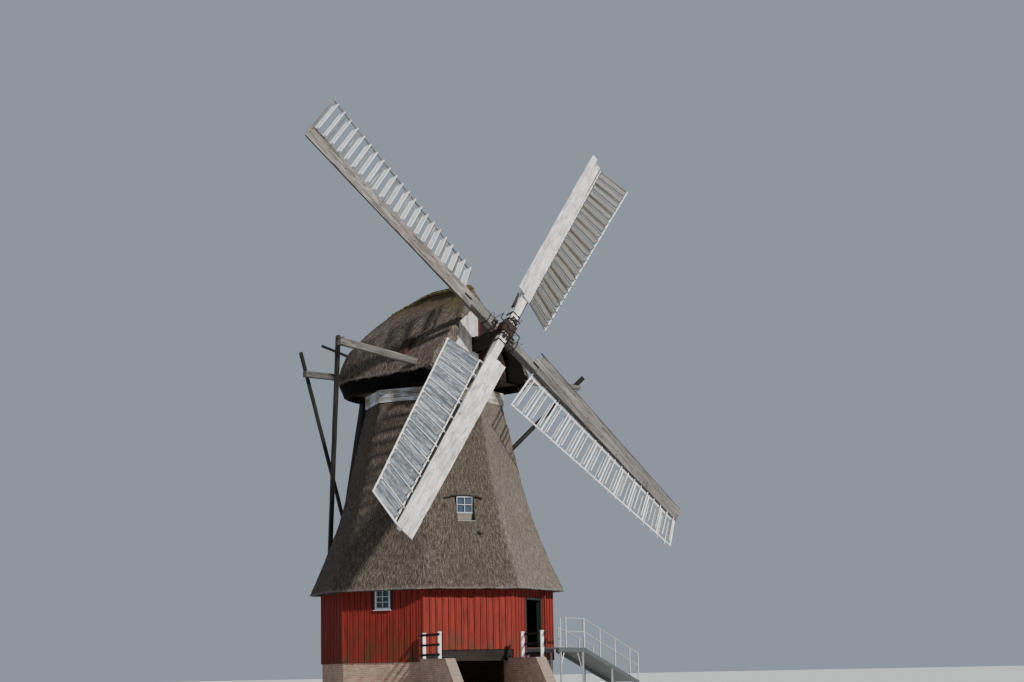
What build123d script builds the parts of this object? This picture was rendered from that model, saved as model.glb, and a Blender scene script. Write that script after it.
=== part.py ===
from build123d import *
import os
from math import sin, cos, tan, radians, pi, sqrt, atan2, degrees

os.makedirs("parts", exist_ok=True)

# ---------------------------------------------------------------- driving dimensions (mm)
# octagonal tower, centred on the Z axis, flat faces square to X, Y and the diagonals.
# Face k has its outward normal at k*45 degrees from -Y, turning towards +X.
WALL_R = 4508.0            # corner radius of the timber storey
BASE_H = 1800.0            # masonry base, ground to the foot of the boards
BASE_T = 450.0             # masonry thickness
TIMBER_T = 140.0           # boarded timber wall thickness
TIMBER_TOP = 4940.0        # hidden top of the timber storey, under the thatch
FRONT_BOARD_FOOT = 2220.0  # the boards of the front face end higher, over the passage
PASSAGE_W = 3000.0         # cellar passage under the front face
FLOOR_TOP = 2280.0
FLOOR_T = 60.0
JOIST_H = 420.0
# thatched body: apothem and height of the outer surface, eave to curb
BODY_PROFILE = [(4684.0, 4440.0), (4310.0, 5330.0), (3950.0, 6230.0), (3570.0, 7340.0),
                (3262.0, 8500.0), (3032.0, 9630.0), (2830.0, 10600.0), (2550.0, 11750.0)]
THATCH_T = 330.0
SOFFIT_Z = 4620.0
CURB_Z0, CURB_Z1 = 11750.0, 12280.0
CURB_OUT, CURB_IN = 2500.0, 2120.0
CURB_BOARD_T = 40.0
# access landing and ramp along face 1
DOOR_W, DOOR_Z0, DOOR_Z1 = 1400.0, 2300.0, 4150.0
LAND_A0, LAND_A1, LAND_W = -750.0, 1600.0, 1400.0
DECK_Z = 2240.0
RAMP_A1, RAMP_Z1 = 6900.0, 925.0
RAIL_H, RAIL_D, CORNER_D = 1100.0, 60.0, 84.0
# cap, turned about Z
CAP_YAW = 25.65
CAP_Z0 = 12290.0           # underside of the cap ring, 10 mm over the curb boards
CAP_FLOOR_Z = 12600.0
# rotor
HUB_S, HUB_Z, SHAFT_TILT = 3994.0, 14307.0, 12.44
SAIL_ANGLE = 49.4          # upper right sail, from the horizontal of the sail plane
STOCK_SEP = 381.0          # distance of the two stocks along the shaft
STOCK_ROOT, STOCK_TIP = 340.0, 190.0
STOCK_R = 10800.0
LAT_R0, LAT_R1 = 2100.0, 10800.0
LAT_IN, LAT_OUT = 353.0, 1813.0
WEATHER_ROOT, WEATHER_TIP = 15.7, -13.5
BAYS = 11
SHUTTER_OPEN = {"a": -82.0, "b": -82.0, "c": -82.0, "d": -52.0}
SHUTTER_CHORD = 310.0
BOARD_ROOT = 580.0          # reach of the leading board beyond the stock's centre line
BOARD_TIP = {"a": 310.0, "b": 340.0, "c": 370.0, "d": 560.0}
BOARD_END = {"a": 10860.0, "b": 11150.0, "c": 10860.0, "d": 10860.0}

APO = WALL_R * cos(pi / 8)


def save(name, solids):
    """Write one node, with several solids only where they stand apart."""
    flat = []
    for s in (solids if isinstance(solids, (list, tuple)) else [solids]):
        flat.extend(s.solids())
    shape = flat[0] if len(flat) == 1 else Compound(children=flat)
    export_step(shape, f"parts/{name}.step")
    print(f"{name}: {len(flat)} solids, {sum(x.volume for x in flat) / 1e9:.3f} m3")


def octagon(apothem):
    r = apothem / cos(pi / 8)
    return [(r * sin(pi / 8 + i * pi / 4), -r * cos(pi / 8 + i * pi / 4)) for i in range(8)]


def prism(pts, z0, z1):
    """Upright prism on a plan polygon."""
    f = make_face(Polyline(*[(x, y, 0) for x, y in pts], close=True))
    return Pos(0, 0, z0) * extrude(f, amount=z1 - z0, dir=(0, 0, 1))


def blk(x0, x1, y0, y1, z0, z1):
    return Pos((x0 + x1) / 2, (y0 + y1) / 2, (z0 + z1) / 2) * Box(x1 - x0, y1 - y0, z1 - z0)


def face_turn(k):
    """Places a thing drawn for face 0 (outward -Y, along +X) on face k."""
    return Rot(0, 0, 45.0 * k)


def sector(k, reach=6500.0, z0=-100.0, z1=13000.0):
    """Wedge of the plan that belongs to face k."""
    h = reach * tan(pi / 8)
    return face_turn(k) * prism([(0, 0), (h, -reach), (-h, -reach)], z0, z1)


def beam(p0, p1, w, h, up=(0, 0, 1)):
    """Straight timber of section w x h from p0 to p1; h lies in the plane of up."""
    a, b = Vector(*p0), Vector(*p1)
    d = (b - a).normalized()
    x = d.cross(Vector(*up)).normalized()
    pl = Plane(origin=a, x_dir=x, z_dir=d)
    return pl.location * (Pos(0, 0, (b - a).length / 2) * Box(w, h, (b - a).length))


def tube(p0, p1, dia):
    a, b = Vector(*p0), Vector(*p1)
    d = (b - a).normalized()
    pl = Plane(origin=a, z_dir=d)
    return pl.location * (Pos(0, 0, (b - a).length / 2) * Cylinder(dia / 2, (b - a).length))


# ---------------------------------------------------------------- masonry base
def ring_panel(k, a0, a1, z0, z1):
    """Piece of an octagonal ring that lies on face k, mitred at the corners."""
    return face_turn(k) * (blk(-3000, 3000, -a1, -a0, z0, z1) & sector(0))


front = ring_panel(0, APO - BASE_T, APO, 0, BASE_H)
front = front - blk(-PASSAGE_W / 2, PASSAGE_W / 2, -APO - 100, -APO + BASE_T + 200, -10, BASE_H + 10)
save("base_square", [front] + [ring_panel(k, APO - BASE_T, APO, 0, BASE_H) for k in (2, 4, -2)])
save("base_diagonal", [ring_panel(k, APO - BASE_T, APO, 0, BASE_H) for k in (1, 3, -1, -3)])
floor_in = prism(octagon(APO - BASE_T), 0, 120)
floor_out = blk(-PASSAGE_W / 2, PASSAGE_W / 2, -APO, -APO + BASE_T, 0, 120)
save("cellar_floor", floor_in + floor_out)

# wing walls beside the passage, level and then sloping down outwards
WING_X0, WING_X1 = 1510.0, 1870.0
WING = [(0, 0), (0, 1880), (3200, 1860), (4160, 1075), (5050, 350), (5050, 0)]
pts = [(-APO - s, z) for s, z in WING]
wing = extrude(make_face(Polyline(*[(0, y, z) for y, z in pts], close=True)), amount=WING_X1 - WING_X0, dir=(1, 0, 0))
save("wing_walls", [Pos(WING_X0, 0, 0) * wing, Pos(-WING_X1, 0, 0) * wing])

# timber over the passage and under the floor
lintel = blk(-2400, 2400, -APO, -APO + 300, BASE_H, FRONT_BOARD_FOOT) & sector(0)
save("passage_lintel", lintel)
joists = []
jspace = prism(octagon(APO - TIMBER_T - 20), BASE_H, BASE_H + JOIST_H)
for x in (-3000, -1500, 0, 1500, 3000):
    j = blk(x - 120, x + 120, -APO + 305, APO, BASE_H, BASE_H + JOIST_H) & jspace
    joists.append(j)
save("floor_joists", joists)
save("mill_floor", prism(octagon(APO - TIMBER_T), FLOOR_TOP - FLOOR_T, FLOOR_TOP))

# ---------------------------------------------------------------- timber storey
def wall_panel(k, z0=BASE_H, z1=TIMBER_TOP, cut=None):
    p = blk(-2400, 2400, -APO, -APO + TIMBER_T, z0, z1)
    if cut is not None:
        p = p - cut
    return (face_turn(k) * p) & sector(k)


WALL_WIN = (-330.0, 330.0, 3740.0, 4500.0)
win_cut = blk(WALL_WIN[0], WALL_WIN[1], -APO - 50, -APO + TIMBER_T + 50, WALL_WIN[2], WALL_WIN[3])
save("walls_square", [wall_panel(0, z0=FRONT_BOARD_FOOT), wall_panel(2), wall_panel(4), wall_panel(-2)])
jamb_cut = blk(-DOOR_W / 2, DOOR_W / 2, -APO - 50, -APO + TIMBER_T + 50, BASE_H - 10, TIMBER_TOP + 10)
door_face = wall_panel(1, cut=jamb_cut)
save("walls_diagonal", [wall_panel(-1, cut=win_cut), wall_panel(3, cut=win_cut), wall_panel(-3)] + list(door_face.solids()))
door_head = face_turn(1) * blk(-DOOR_W / 2, DOOR_W / 2, -APO, -APO + TIMBER_T, DOOR_Z1, TIMBER_TOP)
door_sill = face_turn(1) * blk(-DOOR_W / 2, DOOR_W / 2, -APO, -APO + TIMBER_T, BASE_H, DOOR_Z0 - 15)
save("door_head_and_sill", [door_head, door_sill])

FR = 90.0
frame_o = blk(-DOOR_W / 2, DOOR_W / 2, -APO + 10, -APO + 130, DOOR_Z0 - 15, DOOR_Z1)
frame_i = blk(-DOOR_W / 2 + FR, DOOR_W / 2 - FR, -APO, -APO + 140, DOOR_Z0 - 30, DOOR_Z1 - FR)
save("door_frame", face_turn(1) * (frame_o - frame_i))
# the leaf stands open, square to the wall, hung at its left edge
LEAF_W, LEAF_T = DOOR_W - 2 * FR - 20, 50.0
HINGE_A, HINGE_Y = -DOOR_W / 2 + FR + 5, -APO + 130
leaf = blk(HINGE_A + 10, HINGE_A + 10 + LEAF_T, HINGE_Y + 5, HINGE_Y + 5 + LEAF_W, DOOR_Z0, DOOR_Z1 - FR - 10)
save("door_leaf", face_turn(1) * leaf)

# ---------------------------------------------------------------- thatched body
def inner_profile():
    out = [(APO, SOFFIT_Z), (APO, TIMBER_TOP)]
    for (r, z) in BODY_PROFILE[1:]:
        out.append((r - THATCH_T, z))
    return out


prof = BODY_PROFILE + list(reversed(inner_profile()))


def thatch_panel(k, cut=None):
    f = make_face(Polyline(*[(0, -r, z) for r, z in prof], close=True))
    p = Pos(-2600, 0, 0) * extrude(f, amount=5200, dir=(1, 0, 0))
    if cut is not None:
        p = p - cut
    return (face_turn(k) * p) & sector(k)


TW = (-200.0, 480.0, 6980.0, 7960.0)     # window in the thatch of the front face
tw_cut = blk(TW[0], TW[1], -4200, -2600, TW[2], TW[3])
save("thatch_square", [thatch_panel(0, tw_cut), thatch_panel(2), thatch_panel(4, tw_cut), thatch_panel(-2)])
save("thatch_diagonal", [thatch_panel(1), thatch_panel(3), thatch_panel(-1), thatch_panel(-3)])

# windows: frames with a middle post and bar, glass in the gaps between
TW_Y0, TW_Y1 = -3390.0, -3320.0
wf, wg = [], []
for k in (-1, 3):
    o = blk(WALL_WIN[0], WALL_WIN[1], -APO + 20, -APO + 100, WALL_WIN[2], WALL_WIN[3])
    i = blk(WALL_WIN[0] + 60, WALL_WIN[1] - 60, -APO, -APO + 120, WALL_WIN[2] + 60, WALL_WIN[3] - 60)
    wf.append(face_turn(k) * (o - i))
    wg.append(face_turn(k) * blk(WALL_WIN[0] + 60, WALL_WIN[1] - 60, -APO + 56, -APO + 62, WALL_WIN[2] + 60, WALL_WIN[3] - 60))
SILL = 330.0
for k in (0, 4):
    o = blk(TW[0], TW[1], TW_Y0, TW_Y1, TW[2], TW[3])
    i = blk(TW[0] + 60, TW[1] - 60, TW_Y0 - 20, TW_Y1 + 20, TW[2] + SILL, TW[3] - 60)
    wf.append(face_turn(k) * (o - i))
    wg.append(face_turn(k) * blk(TW[0] + 60, TW[1] - 60, TW_Y0 + 32, TW_Y0 + 38, TW[2] + SILL, TW[3] - 60))
save("window_frames", wf)
save("window_glass", wg)

# curb at the head of the tower
save("curb_square", [ring_panel(k, CURB_IN, CURB_OUT, CURB_Z0, CURB_Z1) for k in (0, 2, 4, -2)])
save("curb_diagonal", [ring_panel(k, CURB_IN, CURB_OUT, CURB_Z0, CURB_Z1) for k in (1, 3, -1, -3)])
save("curb_boards", prism(octagon(CURB_OUT + CURB_BOARD_T), CURB_Z0, CURB_Z1)
     - prism(octagon(CURB_OUT), CURB_Z0 - 10, CURB_Z1 + 10))

# ---------------------------------------------------------------- railings on the wing walls
posts, bars = [], []
for sx, s0, s1 in ((-1, 300.0, 2300.0), (1, 900.0, 3050.0)):
    x = sx * 1800.0
    for s in (s0, s1):
        posts.append(blk(x - 50, x + 50, -APO - s - 50, -APO - s + 50, 1880, 2800))
    for z in (2740.0, 2380.0, 2030.0):
        xx = x + sx * 70
        bars.append(blk(xx - 20, xx + 20, -APO - s1 - 220, -APO - s0 + 220, z - 45, z + 45))
save("railing_posts", posts)
save("railing_bars", bars)

# ---------------------------------------------------------------- landing and ramp on face 1
SLOPE = (DECK_Z - RAMP_Z1) / (RAMP_A1 - LAND_A1)


def L(a, w, z):
    """Point beside face 1: a along the face, w out from it."""
    return (a, -APO - w, z)


def deck_z(a):
    return DECK_Z if a <= LAND_A1 else DECK_Z - SLOPE * (a - LAND_A1)


W0, W1 = 20.0, LAND_W + 30.0
land = blk(LAND_A0, LAND_A1, -APO - W1, -APO - W0, DECK_Z - 40, DECK_Z)
for w in (W0, W1 - 60):
    land += blk(LAND_A0, LAND_A1, -APO - w - 60, -APO - w, DECK_Z - 160, DECK_Z - 40)
save("landing_deck", face_turn(1) * land)
RW0 = 190.0
def slab(w0, w1, d0, d1):
    p = [(LAND_A1, DECK_Z - d0), (RAMP_A1, RAMP_Z1 - d0), (RAMP_A1, RAMP_Z1 - d1), (LAND_A1, DECK_Z - d1)]
    f = make_face(Polyline(*[(a, 0, z) for a, z in p], close=True))
    return Pos(0, -APO - w0, 0) * extrude(f, amount=w1 - w0, dir=(0, -1, 0))
ramp = slab(RW0, W1, 0, 40) + slab(RW0, RW0 + 60, 40, 160) + slab(W1 - 60, W1, 40, 160)
save("ramp_deck", face_turn(1) * ramp)

D = RAIL_D
def rail_frame(w, line, post_a, mids, foot=8.0):
    """Posts, top rail and middle rail of one side, fused."""
    out = None
    for (a0, z0), (a1, z1) in zip(line[:-1], line[1:]):
        for dz in [0.0] + mids:
            t = tube(L(a0, w, z0 - dz), L(a1, w, z1 - dz), D)
            out = t if out is None else out + t
    for (a, z) in line:
        for dz in [0.0] + mids:
            out = out + Pos(*L(a, w, z - dz)) * Sphere(D / 2)
    for a, zt in post_a:
        out = out + tube(L(a, w, deck_z(a) + foot), L(a, w, zt), CORNER_D if a == LAND_A1 else D)
    return out


def top_out(a):
    return deck_z(a) + RAIL_H


WO = LAND_W
outer_rail = rail_frame(WO, [(-50, top_out(-50)), (LAND_A1, top_out(LAND_A1)), (6890, top_out(6890))],
                        [(a, top_out(a)) for a in (-50, LAND_A1, 3100, 4550, 6020)] + [(6890 - 24, top_out(6890))], [500.0])
lone_post = tube(L(-550, WO, DECK_Z), L(-550, WO, top_out(0)), D)
def top_in(a):
    return 3130.0 - 0.217 * (a - 1300.0)
WI = RW0 + 40
inner_rail = rail_frame(WI, [(1800, top_in(1800)), (5050, top_in(5050))],
                        [(a, top_in(a)) for a in (1800, 3690)] + [(5050 - 24, top_in(5050))], [500.0])
save("ramp_railings", [face_turn(1) * outer_rail, face_turn(1) * lone_post, face_turn(1) * inner_rail])
legs = []
for a, w in ((-550, W1 - 30), (1450, W1 - 30), (-550, W0 + 30), (1450, W0 + 30)):
    legs.append(face_turn(1) * blk(a - 30, a + 30, -APO - w - 30, -APO - w + 30, 0, DECK_Z - 160))
for a in (4200, 6700):
    for w in (RW0 + 30, W1 - 30):
        p = [(a - 30, 0), (a + 30, 0), (a + 30, deck_z(a + 30) - 160), (a - 30, deck_z(a - 30) - 160)]
        f = make_face(Polyline(*[(x, 0, z) for x, z in p], close=True))
        legs.append(face_turn(1) * (Pos(0, -APO - w + 30, 0) * extrude(f, amount=60, dir=(0, -1, 0))))
save("ramp_legs", legs)

# ---------------------------------------------------------------- cap (drawn with its front to -Y, then turned)
CAP = Rot(0, 0, CAP_YAW)
# level z, half width, centre of the rounded rear, front end
CAP_OUT = [(12400.0, 2440.0, -1780.0, 2680.0), (12850.0, 2700.0, -1740.0, 2700.0), (13500.0, 2330.0, -2250.0, 2700.0),
           (14230.0, 1720.0, -2700.0, 2700.0), (15130.0, 870.0, -2750.0, 2620.0), (15800.0, 330.0, -2070.0, 2450.0),
           (16110.0, 150.0, -900.0, 2350.0), (16330.0, 50.0, -50.0, 2200.0)]
CAP_INN = [(12300.0, 2300.0, -1700.0, 2800.0), (12850.0, 2330.0, -1740.0, 2800.0), (13500.0, 1960.0, -2230.0, 2800.0),
           (14230.0, 1350.0, -2640.0, 2800.0), (15130.0, 500.0, -2600.0, 2800.0), (15620.0, 100.0, -2000.0, 2800.0)]
GABLE_S0, GABLE_S1 = 2440.0, 2500.0      # boarded front wall, behind the thatch that frames it
MOUTH = [(1600.0, 12640.0), (1500.0, 13500.0), (1200.0, 14040.0), (1020.0, 14780.0), (0.0, 15550.0)]


def plan(z, w, sc, sf, n=8):
    p = [(-w, -sf), (-w, -sc)]
    p += [(-w * cos(i * pi / n), -sc + w * sin(i * pi / n)) for i in range(1, n)]
    p += [(w, -sc), (w, -sf)]
    return make_face(Polyline(*[(x, y, z) for x, y in p], close=True))


cap_o = loft([plan(*r) for r in CAP_OUT], ruled=True)
cap_i = loft([plan(*r) for r in CAP_INN], ruled=True)
m_pts = [(x, z) for x, z in MOUTH] + [(-x, z) for x, z in reversed(MOUTH[:-1])]
mouth = extrude(make_face(Polyline(*[(x, -GABLE_S0, z) for x, z in m_pts], close=True)), amount=600, dir=(0, -1, 0))
shell = cap_o - (cap_i & blk(-4000, 4000, -GABLE_S0, 6000, 12000, 17000)) - mouth

# spreader beams and the frame at the tail
LS_S, LS_W, LS_H = 1700.0, 240.0, 280.0
near = beam((0, -LS_S, 12890), (-6250, -LS_S, 13605), LS_W, LS_H)
fdir = Vector(6560, 0, 70)
far = loft([Plane(origin=(0, -LS_S, 12890), x_dir=(0, 1, 0), z_dir=fdir) * Rectangle(LS_W, LS_H),
            Plane(origin=(6560, -LS_S, 12960), x_dir=(0, 1, 0), z_dir=fdir) * Rectangle(LS_W, 170)], ruled=True)
knee = Pos(0, -LS_S, 12890) * Box(60, LS_W, LS_H)
long_spreader = near + far + knee
SS_S, SS_Z = -2670.0, 13050.0
short_spreader = beam((-4420, -SS_S, SS_Z), (4420, -SS_S, SS_Z), 220, 250)
POLE0, POLE1 = (0.0, 4200.0, 13000.0), (0.0, 6600.0, 3100.0)
pdir = (Vector(*POLE1) - Vector(*POLE0)).normalized()
tail_pole = beam(POLE0, POLE1, 260, 300, up=(0, 1, 0))
tail_beam = blk(-170, 170, 2500, 4300, CAP_FLOOR_Z + 40, CAP_FLOOR_Z + 300) - tail_pole
tail_beam = [x for x in tail_beam.solids() if x.center().Y < 4050][0]
lever = beam((0, 3300, 13700), (0, 7080, 15190), 90, 110, up=(0, 0, 1))
floor_cap = (cap_i & blk(-3000, 3000, -GABLE_S0, 5000, CAP_FLOOR_Z, CAP_FLOOR_Z + 40))
cap_ring = Pos(0, 0, (CAP_Z0 + CAP_FLOOR_Z) / 2) * (Cylinder(2290, CAP_FLOOR_Z - CAP_Z0) - Cylinder(2060, CAP_FLOOR_Z - CAP_Z0 + 20))
# the long spreader lies on the cap floor, the short one is let into the thatch behind
shell = shell - long_spreader - short_spreader - lever - tail_pole - tail_beam
left = shell & blk(-4000, 0, -4000, 1900, 12000, 17000)
right = shell & blk(0, 4000, -4000, 1900, 12000, 17000)
rear = shell & blk(-4000, 4000, 1900, 6000, 12000, 17000)
save("cap_thatch_left", CAP * left)
save("cap_thatch_right", CAP * right)
save("cap_thatch_rear", CAP * rear)
save("cap_ring", CAP * cap_ring)
save("cap_floor", CAP * floor_cap)
save("long_spreader", CAP * long_spreader)
save("short_spreader", CAP * short_spreader)
save("tail_pole", CAP * tail_pole)
save("tail_beam", CAP * tail_beam)
save("brake_lever", CAP * lever)

FOOT_Z = 3350.0
foot = Vector(*POLE0) + pdir * ((POLE0[2] - FOOT_Z) / abs(pdir.Z))
mid = Vector(*POLE0) + pdir * ((POLE0[2] - 7700.0) / abs(pdir.Z))
braces = []
def ext(a, b, back):
    d = (Vector(*b) - Vector(*a)).normalized()
    return tuple(Vector(*a) - d * back)
for sx in (-1, 1):
    ez = 13600.0 if sx < 0 else 12955.0
    ex = sx * (6120.0 if sx < 0 else 6420.0)
    a = (ex, -LS_S + LS_W / 2 + 92, ez)
    b = (sx * 205.0, foot.Y, foot.Z)
    braces.append(beam(ext(a, b, 260.0 if sx < 0 else 620.0), b, 150, 170, up=(1, 0, 0)) - long_spreader - tail_pole)
    a = (sx * 4180.0, -SS_S + 110 + 75, SS_Z)
    b = (sx * 190.0, mid.Y, mid.Z)
    braces.append(beam(ext(a, b, 1050.0), b, 120, 140, up=(1, 0, 0)) - short_spreader - tail_pole)
save("tail_braces", [CAP * b for b in braces])

# ---------------------------------------------------------------- rotor frame: X level, Y up the sail plane, Z out along the shaft
T = radians(SHAFT_TILT)
ROT = CAP * Plane(origin=(0, -HUB_S, HUB_Z), x_dir=(1, 0, 0), z_dir=(0, -cos(T), sin(T))).location
CAPROT = Plane(origin=(0, -HUB_S, HUB_Z), x_dir=(1, 0, 0), z_dir=(0, -cos(T), sin(T))).location
SHAFT_R, SHAFT_END, GUDGEON_R, GUDGEON_END = 270.0, -5600.0, 80.0, -6080.0

# bearings of the shaft
CF = CAP_FLOOR_Z + 40
breast = blk(-460, 460, -1820, -1580, 13000, 13800)
breast = breast - CAPROT * (Pos(0, 0, -2000) * Cylinder(SHAFT_R + 8, 3000)) - long_spreader
tailb = blk(-420, 420, 1530, 1830, CF, 13330)
tailb = tailb - CAPROT * (Pos(0, 0, -6000) * Cylinder(GUDGEON_R + 6, 2400))
save("shaft_beams", [CAP * breast, CAP * tailb])

# gable boards upright in the mouth of the thatch
gable = mouth & blk(-4000, 4000, -GABLE_S1, -GABLE_S0, 12000, 17000)
gable = gable - CAPROT * (Pos(0, 0, -1500) * Cylinder(SHAFT_R + 60, 3000))
save("front_gable", CAP * gable)

shaft = Pos(0, 0, (SHAFT_END - 520) / 2) * Cylinder(SHAFT_R, -SHAFT_END - 520)
shaft += Pos(0, 0, (SHAFT_END + GUDGEON_END) / 2) * Cylinder(GUDGEON_R, SHAFT_END - GUDGEON_END)
save("windshaft", ROT * shaft)


def stock(sign):
    """Both halves of one stock, parallel in the poll end and tapering to the tips."""
    h0, h1 = STOCK_ROOT / 2, STOCK_TIP / 2
    mid_box = Box(1300, STOCK_ROOT, STOCK_ROOT)
    out = mid_box
    for d in (1, -1):
        f0 = Plane(origin=(650 * d, 0, 0), x_dir=(0, 1, 0), z_dir=(d, 0, 0)) * Rectangle(2 * h0, 2 * h0)
        f1 = Plane(origin=(STOCK_R * d, 0, 0), x_dir=(0, 1, 0), z_dir=(d, 0, 0)) * Rectangle(2 * h1, 2 * h1)
        out = out + loft([f0, f1], ruled=True)
    return out


# sails a (upper left), b (upper right), c (lower right), d (lower left)
SAILS = {"a": (SAIL_ANGLE + 90, -1), "b": (SAIL_ANGLE, 1), "c": (SAIL_ANGLE - 90, -1), "d": (SAIL_ANGLE - 180, 1)}
def sail_place(key):
    ang, side = SAILS[key]
    return ROT * Pos(0, 0, side * STOCK_SEP / 2) * Rot(0, 0, ang)


stock_shape = stock(1)
save("stock_front", ROT * Pos(0, 0, STOCK_SEP / 2) * Rot(0, 0, SAIL_ANGLE) * stock_shape)
save("stock_rear", ROT * Pos(0, 0, -STOCK_SEP / 2) * Rot(0, 0, SAIL_ANGLE + 90) * stock_shape)
poll = Pos(0, 0, -60) * Rot(0, 0, SAIL_ANGLE) * Box(570, 570, 920)
poll = chamfer(poll.edges().filter_by(Axis.Z), 60)
poll = poll - Pos(0, 0, STOCK_SEP / 2) * Rot(0, 0, SAIL_ANGLE) * Box(1300, STOCK_ROOT, STOCK_ROOT)
poll = poll - Pos(0, 0, -STOCK_SEP / 2) * Rot(0, 0, SAIL_ANGLE + 90) * Box(1300, STOCK_ROOT, STOCK_ROOT)
save("poll_end", ROT * poll)


# one sail in its own frame: X out along the stock, Y to the leading side, Z forward
def rail_pt(t, f):
    """Point of the lattice surface at offset t (trailing) and fraction f, root to tip."""
    w0, w1 = radians(WEATHER_ROOT), radians(WEATHER_TIP)
    y = -t * ((1 - f) * cos(w0) + f * cos(w1))
    z = -t * ((1 - f) * sin(w0) + f * sin(w1))
    return Vector(LAT_R0 + (LAT_R1 - LAT_R0) * f, y, z)


def surf_normal(f):
    p = rail_pt(1000, f) - rail_pt(0, f)
    return Vector(1, 0, 0).cross(p).normalized() * -1


def lattice():
    out = None
    for t in (LAT_IN, LAT_OUT):
        b = beam(tuple(rail_pt(t, 0)), tuple(rail_pt(t, 1)), 50, 50, up=(0, 0, 1))
        out = b if out is None else out + b
    for i in range(BAYS + 1):
        f = i / BAYS
        n = surf_normal(f)
        d = (rail_pt(1000, f) - rail_pt(0, f)).normalized()
        a = rail_pt(0, f) + d * 40
        b = rail_pt(LAT_OUT, f) + d * 25
        off = Vector(25, 0, 0) if i == 0 else (Vector(-25, 0, 0) if i == BAYS else Vector(0, 0, 0))
        out = out + beam(tuple(a + off), tuple(b + off), 60, 44, up=tuple(n))
    return out - stock_shape


def shutters(opened):
    out = []
    for i in range(2 * BAYS):
        f = (i + 0.5) / (2 * BAYS)
        n = surf_normal(f)
        d = (rail_pt(1000, f) - rail_pt(0, f)).normalized()
        c = (rail_pt(LAT_IN, f) + rail_pt(LAT_OUT, f)) * 0.5
        ln = (rail_pt(LAT_OUT, f) - rail_pt(LAT_IN, f)).length - 2 * 34
        er = d.cross(n) if d.cross(n).X > 0 else n.cross(d)
        a = radians(opened)
        chord = er * cos(a) + n * sin(a)
        pl = Plane(origin=c, x_dir=chord, z_dir=d)
        out.append(pl.location * Box(SHUTTER_CHORD, 10, ln))
    return out


lat = lattice()
save("sail_lattices", [sail_place(k) * lat for k in "abcd"])
for k in "abcd":
    save(f"shutters_{k}", [sail_place(k) * s for s in shutters(SHUTTER_OPEN[k])])

# leading boards: on the face of the stock, standing forward at the root
def stock_face(x):
    return STOCK_ROOT / 2 - (STOCK_ROOT - STOCK_TIP) / 2 * (x - 650) / (STOCK_R - 650)
BX0 = 1780.0
BOARD_TRAIL = {"a": 240.0, "b": 240.0, "c": 240.0, "d": 246.0}   # the boards reach this far past the middle of the stock on the trailing side
def board_section(x, lead, trail, tilt):
    z0 = stock_face(x) + 0.5
    y0, y1 = -trail, lead
    c, s = cos(radians(tilt)), sin(radians(tilt))
    wd = y1 - y0
    p = [(x, y0, z0), (x, y0 + wd * c, z0 + wd * s), (x, y0 + wd * c - 36 * s, z0 + wd * s + 36 * c), (x, y0 - 36 * s, z0 + 36 * c)]
    return make_face(Polyline(*p, close=True))
boards = []
for k in "abcd":
    board = loft([board_section(BX0, BOARD_ROOT, BOARD_TRAIL[k], 11), board_section(BOARD_END[k], BOARD_TIP[k], BOARD_TRAIL[k], 0)], ruled=True)
    boards.append(sail_place(k) * board)
save("leading_boards", boards)

# pull rods of the shutters, and the iron cross before the poll end that moves them
rods = []
for k in "abcd":
    ang, side = SAILS[k]
    p0 = rail_pt(275, 0) + Vector(-1550, 0, 62)
    p1 = rail_pt(275, 1) + Vector(-60, 0, 62)
    rods.append(sail_place(k) * beam(tuple(p0), tuple(p1), 30, 30))
save("pull_rods", rods)
cross = Pos(0, 0, 435) * Cylinder(110, 70)
for k in "abcd":
    ang, side = SAILS[k]
    arm = Pos(285, 0, 0) * Box(570, 44, 24) + Pos(550, -140, 0) * Box(40, 320, 24)
    zz = side * STOCK_SEP / 2 - 12
    pin = Pos(550, -266, (zz + 435) / 2) * Cylinder(13, 435 - zz)
    cross += Rot(0, 0, ang) * (Pos(0, 0, 435) * arm + pin)
cross = ROT * cross
for r in rods:
    cross = cross - r
cross = max(cross.solids(), key=lambda x: x.volume)
save("spider_cross", cross)
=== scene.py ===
import bpy, math
import numpy as np
from math import sin, cos, tan, pi, radians
from mathutils import Matrix, Vector


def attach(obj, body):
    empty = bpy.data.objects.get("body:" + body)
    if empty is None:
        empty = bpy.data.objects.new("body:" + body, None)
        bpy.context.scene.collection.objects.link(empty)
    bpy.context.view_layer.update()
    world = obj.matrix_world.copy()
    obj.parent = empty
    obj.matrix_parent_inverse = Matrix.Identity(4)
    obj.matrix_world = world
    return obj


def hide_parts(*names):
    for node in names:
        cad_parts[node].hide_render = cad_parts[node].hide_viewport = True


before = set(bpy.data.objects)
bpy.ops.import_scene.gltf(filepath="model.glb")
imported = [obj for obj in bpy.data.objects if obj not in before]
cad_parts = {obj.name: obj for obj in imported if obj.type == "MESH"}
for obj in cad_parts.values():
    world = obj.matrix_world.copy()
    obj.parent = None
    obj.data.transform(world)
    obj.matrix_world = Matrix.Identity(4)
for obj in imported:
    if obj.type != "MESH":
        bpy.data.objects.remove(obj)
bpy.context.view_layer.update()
rng = np.random.default_rng(11)

# ------------------------------------------------------------------ camera: the photograph's viewing point
cam = bpy.data.objects.new("camera", bpy.data.cameras.new("camera"))
bpy.context.collection.objects.link(cam)
cam.data.sensor_width, cam.data.lens = 36.0, 68.70
cam.data.clip_end = 1000
_r = (0.94818673, -0.31720935, -0.01789280)
_u = (-0.03587687, -0.16285843, 0.98599695)
_f = (0.31568145, 0.93426728, 0.16580068)
cam.matrix_world = Matrix(((_r[0], _u[0], -_f[0], -21.6896), (_r[1], _u[1], -_f[1], -73.9874),
                           (_r[2], _u[2], -_f[2], 1.4579), (0, 0, 0, 1)))
bpy.context.scene.camera = cam

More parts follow.
